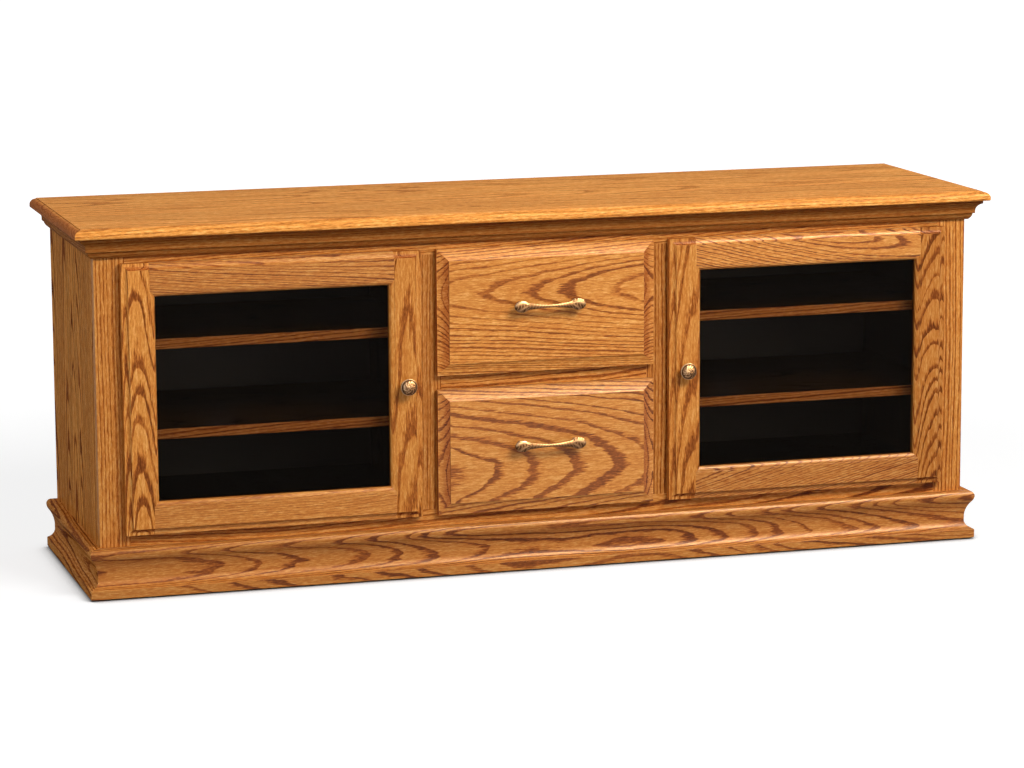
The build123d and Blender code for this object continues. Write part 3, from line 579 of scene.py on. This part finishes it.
# %% Glass
def smoked_glass_material():
    """Thin dark film over a clear pane, with faint smudges."""
    material, tree, shader = fresh_material("smoked_glass")
    smudge = object_noise(tree, (9.0, 9.0, 14.0), 4.0, 0.6)
    colour = colour_ramp(tree, smudge, ((0.2, linear(9, 6, 4)), (0.8, linear(17, 12, 8))))
    fill(tree, shader, {"Base Color": colour, "Roughness": step_between(tree, smudge, 0.45, 0.75, 0.015, 0.06),
                        "Alpha": 0.30, "Specular IOR Level": 0.05})
    return material


glass = smoked_glass_material()
for node in ("left_door_glass", "right_door_glass"):
    wear(node, glass)

# %% [markdown]
# ## Antique brass
# The knobs and pulls are cast brass that was darkened and then rubbed: the hollows of the leaves stay
# brown, and the high parts are bright. The mesh code further down stores how high each point stands in an
# attribute, and the material reads it to place the patina. The same attribute also carries painted light and
# shade: the upper part of each pull and the upper left of each knob are lighter, their lower parts darker.


# %% Antique brass
def brass_material():
    """Brass with dark patina in the hollows, rubbed high spots, and painted light and shade carried by the
    relief attribute.
    """
    material, tree, shader = fresh_material("antique_brass")
    relief_and_painted_light = add_node(tree, "ShaderNodeAttribute", attribute_name="relief_and_painted_light").outputs["Fac"]
    cloud = object_noise(tree, (420.0, 420.0, 420.0), 3.0, 0.6)
    blotch = math_node(tree, "MULTIPLY", math_node(tree, "SUBTRACT", cloud, 0.5), 0.35)
    height = math_node(tree, "ADD", relief_and_painted_light, blotch)
    patina = ((0.12, linear(62, 40, 24)), (0.38, linear(108, 78, 54)), (0.66, linear(138, 108, 80)),
              (1.0, linear(180, 152, 122)))
    fill(tree, shader, {"Base Color": colour_ramp(tree, height, patina), "Metallic": 1.0,
                        "Roughness": step_between(tree, height, 0.2, 0.9, 0.50, 0.34),
                        "Normal": bumped(tree, cloud, 0.12, 0.05 * MM)})
    return material


brass = brass_material()

# %% [markdown]
# ## Turned and cast hardware as meshes
# A knob is a lathe shape with leaves cast on its dome. The mesh is a grid: one direction runs along the
# turned profile, the other round it, and the leaf pattern lifts the points of the dome. The pull is a grid
# too, but along a bow: its section grows from a slender oval in the middle to a broad leaf at each end.


# %% Mesh helpers
def mesh_object(name, vertices, faces, relief_and_painted_light=None):
    """A mesh object at the origin, linked to the scene, with an optional attribute of relief and painted light.
    """
    mesh = bpy.data.meshes.new(name)
    mesh.from_pydata([tuple(v) for v in vertices], [], faces)
    mesh.validate()
    if relief_and_painted_light is not None:
        attribute = mesh.attributes.new("relief_and_painted_light", "FLOAT", "POINT")
        attribute.data.foreach_set("value", relief_and_painted_light)
    for polygon in mesh.polygons:
        polygon.use_smooth = True
    mesh.update()
    piece = bpy.data.objects.new(name, mesh)
    scene.collection.objects.link(piece)
    return piece


def closed_grid(rows):
    """Points and faces for rows that run round an axis, with a fan of faces at each end."""
    vertices = [point for row in rows for point in row]
    count, last = len(rows[0]), len(rows) - 1
    ring = [(turn, (turn + 1) % count) for turn in range(count)]
    faces = []
    for base in range(0, last * count, count):
        faces += [(base + one, base + two, base + count + two, base + count + one) for one, two in ring]
    for index in (0, last):
        base, tip = index * count, len(vertices)
        vertices.append(tuple(sum((Vector(p) for p in rows[index]), Vector()) / count))
        faces += [(base + two, base + one, tip) if index == 0 else (base + one, base + two, tip)
                  for one, two in ring]
    return vertices, faces


def outward_normals(piece):
    """Merge doubles and turn all faces outwards."""
    work = bmesh.new()
    work.from_mesh(piece.data)
    bmesh.ops.remove_doubles(work, verts=work.verts, dist=1e-6)
    bmesh.ops.recalc_face_normals(work, faces=work.faces)
    work.to_mesh(piece.data)
    work.free()


# %% Knobs
DOME_RADIUS = 13.5  # this and the lengths below are in millimetres
DOME_START = 19.2
DOME_RISE = 7.0
KNOB_REACH = 27.0
KNOB_LEAF_RISE = 0.72
KNOB_TURNS, DOME_STEPS = 96, 34


def knob_profile():
    """Points of the turned profile, from the door out and over the dome: distance out, radius."""
    points = [(0.0, 9.5), (0.6, 9.5), (1.6, 9.0), (2.4, 7.8), (3.0, 6.2), (4.2, 5.5), (7.0, 5.4), (9.5, 5.8),
              (11.6, 7.2), (13.4, 9.6), (14.8, 12.6), (15.8, 14.8), (16.8, 15.8), (17.8, 16.0), (18.8, 15.8),
              (19.5, 15.3), (19.6, 14.8), (19.1, 14.3), (18.7, 13.9)]
    for index in range(DOME_STEPS):
        angle = index / DOME_STEPS * math.pi / 2
        points.append((DOME_START + DOME_RISE * math.sin(angle), DOME_RADIUS * math.cos(angle)))
    return points


def leaf_lift(radius, angle, seed):
    """Height from 0 to 1 of the curled leaves that cover the dome."""
    share = min(1.0, radius / DOME_RADIUS)
    sway = 0.26 * math.sin(3 * angle + seed) + 0.12 * math.sin(5 * angle - 2 * seed)
    outer = 0.5 + 0.5 * math.cos(9 * (angle + sway + 1.3 * share) + seed)
    veins = 0.5 + 0.5 * math.cos(17 * (angle - 0.62 * share) + 3.0 * math.sin(2 * angle + seed))
    heart = 0.5 + 0.5 * math.cos(4 * (angle - 2.2 * share) - seed)
    inside = math.exp(-(share / 0.42) ** 4)
    rim = 1.0 - math.exp(-((1.0 - share) / 0.05) ** 2)
    ridge = 0.66 * outer + 0.34 * veins
    return rim * (inside * (0.7 * heart + 0.3 * veins) + (1.0 - inside) * ridge)


def build_knob(door, seed):
    """One cast knob in place of the plain one."""
    low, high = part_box(f"{door}_knob")
    middle_x, middle_z = (low.x + high.x) / 2, (low.z + high.z) / 2
    scale_out = (high.y - low.y) / (KNOB_REACH * MM)
    rows, relief_and_painted_light = [], []
    for out, radius in knob_profile():
        on_dome = out >= DOME_START and radius <= DOME_RADIUS
        plain = 0.72 if radius > 14.5 or out < 3.2 else 0.15
        row = []
        for index in range(KNOB_TURNS):
            angle = index / KNOB_TURNS * 2 * math.pi
            lift = leaf_lift(radius, angle, seed) if on_dome else 0.0
            reach = out + KNOB_LEAF_RISE * lift
            row.append((middle_x + radius * MM * math.cos(angle), high.y - reach * scale_out * MM,
                        middle_z + radius * MM * math.sin(angle)))
            # Upper left lighter and lower right darker: a painted highlight and painted shade.
            rubbed = 0.14 * (math.sin(angle) - math.cos(angle))
            relief_and_painted_light.append(0.06 + rubbed + lift * 0.78 if on_dome else plain + rubbed)
        rows.append(row)
    vertices, faces = closed_grid(rows)
    knob = mesh_object(f"{door}_cast_knob", vertices, faces, relief_and_painted_light + [0.5, 0.8])
    knob.data.materials.append(brass)
    outward_normals(knob)
    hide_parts(f"{door}_knob")
    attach(knob, door)
    print(knob.name, "faces", len(knob.data.polygons))


for door, seed in (("left_door", 0.4), ("right_door", 2.1)):
    build_knob(door, seed)

# %% [markdown]
# The pull is drawn along its length. At every step the code works out how far the bow stands out, and the
# half height and half thickness of the section. Each end is a rounded leaf: its lobes fan out from the
# neck, and curved veins run across them. A faint twist runs along the bow, and small beads mark its middle
# and the two shoulders, as on the real casting.


# %% Pulls
LEAF_CENTRE = 54.0  # places along the bow from its middle, in millimetres
LEAF_HALF = 15.5
NECK = 37.0
RELIEF_START, RELIEF_FULL = 34.0, 10.0
FAN_POINT = 40.0
LEAF_HEIGHT, LEAF_THICK = 11.0, 3.7  # half sizes of the section
NECK_HEIGHT, NECK_THICK = 5.9, 3.0
BOW_HEIGHT, BOW_THICK = 2.8, 2.5
BEADS = ((0.0, 0.45), (3.4, 0.35), (36.5, 0.45))  # place and size
STAND_OFF, BOW_DROP = 23.6, 5.0
PULL_LEAF_RISE = 0.50
TWIST = 0.30
PULL_STEPS, PULL_TURNS, POST_TURNS = 300, 56, 40
POST = ((0.0, 8.0), (1.2, 8.0), (2.0, 7.4), (2.5, 6.0), (3.4, 4.9), (6.0, 4.2), (12.0, 4.0), (16.5, 4.8),
        (18.5, 5.6))  # distance out and radius


def pull_section(x):
    """Half height, half thickness and stand-off of the bow at a distance x from its middle."""
    from_middle = abs(x)
    if from_middle >= LEAF_CENTRE:
        rounding = math.sqrt(max(0.0, 1 - min(1.0, (from_middle - LEAF_CENTRE) / LEAF_HALF) ** 2.2))
        height, thick = LEAF_HEIGHT * rounding, LEAF_THICK * rounding ** 0.7
    elif from_middle >= NECK:
        share = (LEAF_CENTRE - from_middle) / (LEAF_CENTRE - NECK)
        height = LEAF_HEIGHT + (NECK_HEIGHT - LEAF_HEIGHT) * (0.5 - 0.5 * math.cos(math.pi * share))
        thick = LEAF_THICK + (NECK_THICK - LEAF_THICK) * share
    else:
        share = from_middle / NECK
        height = BOW_HEIGHT + (NECK_HEIGHT - BOW_HEIGHT) * share ** 1.45
        thick = BOW_THICK + (NECK_THICK - BOW_THICK) * share
    bead = 0.0
    for place, size in BEADS:
        bead += size * math.exp(-((from_middle - place) / 1.1) ** 2)
    stand = STAND_OFF - BOW_DROP * min(1.0, from_middle / 44.5) ** 2
    return height + bead, thick + 0.5 * bead, stand


def pull_relief(x, up):
    """Height from 0 to 1 of the cast leaf; up runs from -1 to 1 across the leaf."""
    from_middle = abs(x)
    twist = TWIST * (0.5 + 0.5 * math.cos(from_middle * 1.1 + 2.4 * up))
    if from_middle < RELIEF_START:
        return twist
    share = min(1.0, (from_middle - RELIEF_START) / RELIEF_FULL)
    from_neck = from_middle - FAN_POINT
    spread = math.atan2(LEAF_HEIGHT * up, max(2.0, from_neck + 3.0))
    lobes = 0.5 + 0.5 * math.cos(9.5 * spread + 0.20 * from_neck + math.copysign(0.7, x))
    veins = 0.5 + 0.5 * math.cos(1.12 * from_neck - 3.6 * abs(up + 0.15) + 1.4 * math.sin(2.4 * up))
    leaf = max(lobes ** 1.4, 0.78 * veins ** 2.0)
    edge = math.exp(-((abs(up) - 0.93) / 0.10) ** 2)
    return (1 - share) * twist + share * min(1.0, 0.85 * leaf + 0.4 * edge)


def lathe_rows(centre_x, centre_z, face_y, profile):
    """Rows of points for a turned post; the profile gives distance out and radius in millimetres."""
    angles = [2 * math.pi * index / POST_TURNS for index in range(POST_TURNS)]
    return [[(centre_x + radius * MM * math.cos(angle), face_y - out * MM,
              centre_z + radius * MM * math.sin(angle)) for angle in angles] for out, radius in profile]


def build_pull(drawer):
    """One cast bow pull in place of the plain one."""
    low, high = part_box(f"{drawer}_pull")
    middle_x, level, face_y = (low.x + high.x) / 2, (low.z + high.z) / 2, high.y
    half_length = (high.x - low.x) / 2 / MM
    rows, relief_and_painted_light = [], []
    for index in range(1, PULL_STEPS):
        x = half_length * (index / PULL_STEPS * 2 - 1)
        height, thick, stand = pull_section(x)
        share_of_bow = max(0.0, 1.0 - (abs(x) / 40.0) ** 3)
        row = []
        for turn in range(PULL_TURNS):
            angle = 2 * math.pi * turn / PULL_TURNS
            up, out = math.sin(angle), math.cos(angle)
            lift = pull_relief(x, up) if out > 0 else 0.0
            grown = thick * out + PULL_LEAF_RISE * lift * min(1.0, out * 2.5) * min(1.0, height / 4.0)
            row.append((middle_x + x * MM, face_y - (stand + grown) * MM, level + height * up * MM))
            # Upper half lighter and lower half darker (0.20 * up): painted highlight and painted shade; the
            # rest is the cast leaf.
            relief_and_painted_light.append((0.10 + 0.30 * share_of_bow + 0.62 * lift if out > -0.2 else 0.2) + 0.20 * up)
        rows.append(row)
    vertices, faces = closed_grid(rows)
    relief_and_painted_light += [0.5, 0.5]
    for side in (-1, 1):
        more, more_faces = closed_grid(lathe_rows(middle_x + side * LEAF_CENTRE * MM, level, face_y, POST))
        offset = len(vertices)
        vertices += more
        faces += [tuple(offset + k for k in face) for face in more_faces]
        relief_and_painted_light += [0.55] * len(more)
    pull = mesh_object(f"{drawer}_cast_pull", vertices, faces, relief_and_painted_light)
    pull.data.materials.append(brass)
    outward_normals(pull)
    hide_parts(f"{drawer}_pull")
    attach(pull, drawer)
    print(pull.name, "faces", len(pull.data.polygons))


for drawer in ("upper_drawer", "lower_drawer"):
    build_pull(drawer)

# %% [markdown]
# ## Screws and bumper pads
# Screws repeat, so Geometry Nodes make them. A small mesh holds one point for each screw, and a vector at
# each point says which way its head looks. The tree builds one head from two cut cones, takes a cross-shaped
# recess out of it, turns it by a random angle, as no two screws end alike, and puts it on every point. The
# bumper pads on the backs of the doors and drawer fronts are the same form without a recess.


# %% The tree of turned heads
HEAD_SIDES = 28
SPIN_SEED = 3


def lifted(tree, geometry, height):
    """The same geometry, moved up."""
    inputs = {"Geometry": geometry, "Translation": vector_of(tree, 0.0, 0.0, height)}
    return add_node(tree, "GeometryNodeTransform", inputs).outputs[0]


def cut_cone(tree, radius_low, radius_high, height):
    """A cone without its tip."""
    inputs = {"Vertices": HEAD_SIDES, "Radius Bottom": radius_low, "Radius Top": radius_high, "Depth": height}
    return add_node(tree, "GeometryNodeMeshCone", inputs).outputs["Mesh"]


def build_heads_tree():
    """Geometry Nodes tree: one turned head on every point."""
    tree = bpy.data.node_groups.new("turned_heads", "GeometryNodeTree")
    for name, kind in (("Geometry", "Geometry"), ("Radius", "Float"), ("Height", "Float"), ("Recess", "Float"),
                       ("Material", "Material")):
        tree.interface.new_socket(name, in_out="INPUT", socket_type=f"NodeSocket{kind}")
    tree.interface.new_socket("Geometry", in_out="OUTPUT", socket_type="NodeSocketGeometry")
    given = tree.nodes.new("NodeGroupInput").outputs
    radius, height = given["Radius"], given["Height"]

    def part(value, share):
        return math_node(tree, "MULTIPLY", value, share)

    # Two cut cones, one on the other
    shoulder, crown = part(radius, 0.90), part(radius, 0.62)
    lower, upper = part(height, 0.55), part(height, 0.45)
    join = tree.nodes.new("GeometryNodeJoinGeometry")
    tree.links.new(lifted(tree, cut_cone(tree, radius, shoulder, lower), 0.0), join.inputs[0])
    tree.links.new(lifted(tree, cut_cone(tree, shoulder, crown, upper), lower), join.inputs[0])

    # Two crossed bars cut the recess
    cut = add_node(tree, "GeometryNodeMeshBoolean", {"Mesh 1": join.outputs[0]}, operation="DIFFERENCE",
                   solver="EXACT")
    long_side, short_side = (part(part(radius, share), given["Recess"]) for share in (1.05, 0.24))
    deep = part(height, 1.1)
    for sides in ((long_side, short_side), (short_side, long_side)):
        bar = add_node(tree, "GeometryNodeMeshCube", {"Size": vector_of(tree, *sides, deep)})
        tree.links.new(lifted(tree, bar.outputs["Mesh"], height), cut.inputs["Mesh 2"])
    crossed = math_node(tree, "GREATER_THAN", given["Recess"], 0.5)
    pick = add_node(tree, "GeometryNodeSwitch", {"Switch": crossed, "False": join.outputs[0],
                                                 "True": cut.outputs["Mesh"]}, input_type="GEOMETRY")

    # Each head looks along the vector of its point and is spun by chance
    look = add_node(tree, "GeometryNodeInputNamedAttribute", {"Name": "look"}, data_type="FLOAT_VECTOR")
    align = add_node(tree, "FunctionNodeAlignRotationToVector", {"Vector": look.outputs["Attribute"]}, axis="Z")
    chance = add_node(tree, "FunctionNodeRandomValue", {"Max": math.pi, "Seed": SPIN_SEED},
                      data_type="FLOAT")
    spin = add_node(tree, "FunctionNodeAxisAngleToRotation", {"Axis": (0, 0, 1), "Angle": chance.outputs[1]})
    turn = add_node(tree, "FunctionNodeRotateRotation", {0: align.outputs[0], 1: spin.outputs[0]},
                    rotation_space="LOCAL")
    put = add_node(tree, "GeometryNodeInstanceOnPoints",
                   {"Points": given["Geometry"], "Instance": pick.outputs[0], "Rotation": turn.outputs[0]})
    real = add_node(tree, "GeometryNodeRealizeInstances", {0: put.outputs[0]})
    paint = add_node(tree, "GeometryNodeSetMaterial",
                     {"Geometry": real.outputs[0], "Material": given["Material"]})
    add_node(tree, "NodeGroupOutput", {0: paint.outputs[0]})
    return tree


heads_tree = build_heads_tree()


# %% Place the heads
def place_heads(name, body, slot, material, places, radius, height, recess=1.0):
    """Turned heads on a body; places are pairs of point and direction in millimetres."""
    piece = mesh_object(name, [[value * MM for value in point] for point, _ in places], [])
    look = piece.data.attributes.new("look", "FLOAT_VECTOR", "POINT")
    look.data.foreach_set("vector", [value for _, direction in places for value in direction])
    modifier = piece.modifiers.new("heads", "NODES")
    modifier.node_group = heads_tree
    settings = {"Radius": radius * MM, "Height": height * MM, "Recess": recess, "Material": material}
    for item in heads_tree.interface.items_tree:
        if item.name in settings:
            modifier[item.identifier] = settings[item.name]
    evaluated = piece.evaluated_get(bpy.context.evaluated_depsgraph_get())
    plain = bpy.data.meshes.new_from_object(evaluated)
    piece.modifiers.remove(modifier)
    piece.data = plain
    outward_normals(piece)
    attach(piece, body)
    print(name, "faces", len(plain.polygons))


HINGE_LEVELS = (192.0, 544.0)  # places in millimetres; X is counted from the middle to both sides
WING_X, PLATE_X, KNOB_X, DOOR_PAD_X, DRAWER_PAD_X = 774.5, 792.5, 273.75, 248, 207
DOOR_BACK, WING_FACE, PLATE_Y, DRAWER_SCREW_Y = -213.1, -212.1, -202.2, -201.1
KNOB_LEVEL, DOOR_PAD_LEVELS = 368, (134, 602)
BACKWARDS = (0, 1, 0)
SCREW, PAD = ("zinc_steel", steel), ("glide_nylon", rubber)
for side, door in ((-1, "left_door"), (1, "right_door")):
    wings = [((side * WING_X, WING_FACE, level + up), BACKWARDS)
             for level in HINGE_LEVELS for up in (-22, 22)]
    place_heads(f"{door}_hinge_screws", door, *SCREW, wings, 3.3, 0.9)
    knob_screw = [((side * KNOB_X, DOOR_BACK, KNOB_LEVEL), BACKWARDS)]
    place_heads(f"{door}_knob_screw", door, *SCREW, knob_screw, 4.2, 1.9)
    corners = [((side * DOOR_PAD_X, DOOR_BACK, level), BACKWARDS) for level in DOOR_PAD_LEVELS]
    place_heads(f"{door}_bumper_pads", door, *PAD, corners, 4.2, 1.8, recess=0.0)
plates = [((side * PLATE_X, PLATE_Y, level + up), (-side, 0, 0))
          for side in (-1, 1) for level in HINGE_LEVELS for up in (-15, 15)]
place_heads("hinge_plate_screws", "cabinet", *SCREW, plates, 3.3, 0.9)
for drawer, low, high, level in (("upper_drawer", 389, 611, 508.25), ("lower_drawer", 125, 347, 243.75)):
    pulls = [((side * LEAF_CENTRE, DRAWER_SCREW_Y, level), BACKWARDS) for side in (-1, 1)]
    place_heads(f"{drawer}_pull_screws", drawer, *SCREW, pulls, 4.4, 2.2)
    corners = [((side * DRAWER_PAD_X, DOOR_BACK, z), BACKWARDS) for side in (-1, 1) for z in (low, high)]
    place_heads(f"{drawer}_bumper_pads", drawer, *PAD, corners, 3.8, 1.8, recess=0.0)

# %% [markdown]
# ## Studio
# The floor is a large pale plane that also makes the background. Close to the console an ambient-occlusion
# mask dims its glow: a painted contact shadow. A wide soft lamp above right in front lights matt wood alone, a
# weaker one fills from the left, and a low, even sky lifts the shadows. Two warm cards are seen only in gloss,
# so that the lacquer and the brass shine in the warm colour of a room and not in white. The left end of the
# console stays in shade, as in the photograph.


# %% Floor, lights and sky
def seen_directly(tree):
    """1 for rays that see the background straight, in a mirror or through glass."""
    path = tree.nodes.new("ShaderNodeLightPath")
    mirrored = math_node(tree, "MAXIMUM", path.outputs["Is Glossy Ray"], path.outputs["Is Transmission Ray"])
    return math_node(tree, "MAXIMUM", path.outputs["Is Camera Ray"], mirrored)


GLOW_NEAR, GLOW_FAR = 1.3, 3.2  # metres from the middle, where the floor turns to white
GLOW_LOW = 0.76
FLOOR_SHADE = 0.32
CONTACT_SHADE_REACH = 0.06
FLOOR_HALF = 40.0
SKY_LIGHT = 0.32


def stage_material():
    """Pale floor: it reads as white where it is seen, keeps the object's shadow, and adds a painted contact
    shadow.
    """
    material, tree = empty_material("studio_floor")
    matte = add_node(tree, "ShaderNodeBsdfDiffuse", {"Color": (FLOOR_SHADE, FLOOR_SHADE, FLOOR_SHADE, 1)})
    # An ambient-occlusion mask dims the glow close to the console: a painted contact shadow.
    close = add_node(tree, "ShaderNodeAmbientOcclusion", {"Distance": CONTACT_SHADE_REACH}, samples=8)
    painted_contact_shade = step_between(tree, close.outputs["AO"], 0.35, 0.95)
    away = add_node(tree, "ShaderNodeVectorMath", {0: on_object(tree)}, operation="LENGTH").outputs["Value"]
    level = step_between(tree, away, GLOW_NEAR, GLOW_FAR, GLOW_LOW, 1.0)
    lift = math_node(tree, "MULTIPLY", painted_contact_shade, level)
    shine = math_node(tree, "MULTIPLY", seen_directly(tree), lift)
    glow = add_node(tree, "ShaderNodeEmission", {"Strength": shine})
    both = add_node(tree, "ShaderNodeAddShader", {0: matte.outputs[0], 1: glow.outputs[0]})
    add_node(tree, "ShaderNodeOutputMaterial", {0: both.outputs[0]})
    return material


floor_corners = [(x * FLOOR_HALF, y * FLOOR_HALF, 0) for x, y in ((-1, -1), (1, -1), (1, 1), (-1, 1))]
floor = mesh_object("studio_floor", floor_corners, [(0, 1, 2, 3)])
floor.data.materials.append(stage_material())

world = bpy.data.worlds.new("studio_sky")
scene.world = world
world.use_nodes = True
sky_tree = world.node_tree
background = next(node for node in sky_tree.nodes if node.type == "BACKGROUND")
strength = math_node(sky_tree, "MULTIPLY_ADD", seen_directly(sky_tree), 1.0 - SKY_LIGHT, SKY_LIGHT)
fill(sky_tree, background, {"Color": (1, 1, 1, 1), "Strength": strength})


def soft_light(name, place, target, width, height, power, colour=(1, 1, 1), matt=True, gloss=True):
    """A rectangular lamp that looks at a point; it can light matt surfaces alone, or show in gloss alone."""
    lamp = bpy.data.lights.new(name, "AREA")
    lamp.shape = "RECTANGLE"
    lamp.size, lamp.size_y = width, height
    lamp.energy = power
    lamp.color = colour
    thing = bpy.data.objects.new(name, lamp)
    thing.location = place
    thing.rotation_mode = "QUATERNION"
    thing.rotation_quaternion = (Vector(target) - Vector(place)).to_track_quat("-Z", "Y")
    thing.visible_camera = False
    thing.visible_diffuse = matt
    thing.visible_glossy = gloss
    scene.collection.objects.link(thing)


WARM = (1.0, 0.86, 0.58)
soft_light("key_above_right", (1.4, -3.3, 3.1), (0, 0, 0.3), 2.2, 1.3, 172, gloss=False)
soft_light("fill_left", (-3.4, -2.8, 3.1), (0, 0, 0.3), 1.6, 1.6, 46)
soft_light("sheen_card_front", (1.2, -3.6, 1.55), (0.1, -0.25, 0.35), 2.8, 1.5, 106, WARM, matt=False)
soft_light("sheen_card_above", (1.5, -1.35, 2.3), (0.55, -0.25, 0.1), 2.0, 1.8, 330, WARM, matt=False)

# %% [markdown]
# ## Camera
# A long lens, a little left of the middle and above the top, looks down on the console. Its place and
# angles come from lining up the corners of the real object with the model.

# %% Camera
CAMERA_PLACE = (-1.96467, -6.62096, 1.53819)
CAMERA_YAW, CAMERA_PITCH, CAMERA_ROLL = 0.28830, -0.17497, -0.0055
FOCAL_PIXELS = 3617.12
IMAGE_WIDTH = 1024
SENSOR_WIDTH = 36.0
level = math.cos(CAMERA_PITCH)
ahead = Vector((math.sin(CAMERA_YAW) * level, math.cos(CAMERA_YAW) * level, math.sin(CAMERA_PITCH)))
right = Vector((math.cos(CAMERA_YAW), -math.sin(CAMERA_YAW), 0))
above = right.cross(ahead)
rolled_right = math.cos(CAMERA_ROLL) * right + math.sin(CAMERA_ROLL) * above
rolled_above = math.cos(CAMERA_ROLL) * above - math.sin(CAMERA_ROLL) * right
camera_data = bpy.data.cameras.new("camera")
camera_data.sensor_width = SENSOR_WIDTH
camera_data.lens = FOCAL_PIXELS / IMAGE_WIDTH * SENSOR_WIDTH
camera = bpy.data.objects.new("camera", camera_data)
scene.collection.objects.link(camera)
turn = Matrix((rolled_right, rolled_above, -ahead)).transposed()
camera.matrix_world = Matrix.Translation(CAMERA_PLACE) @ turn.to_4x4()
scene.camera = camera
scene.view_settings.view_transform = "Standard"
print("lens", round(camera_data.lens, 2))
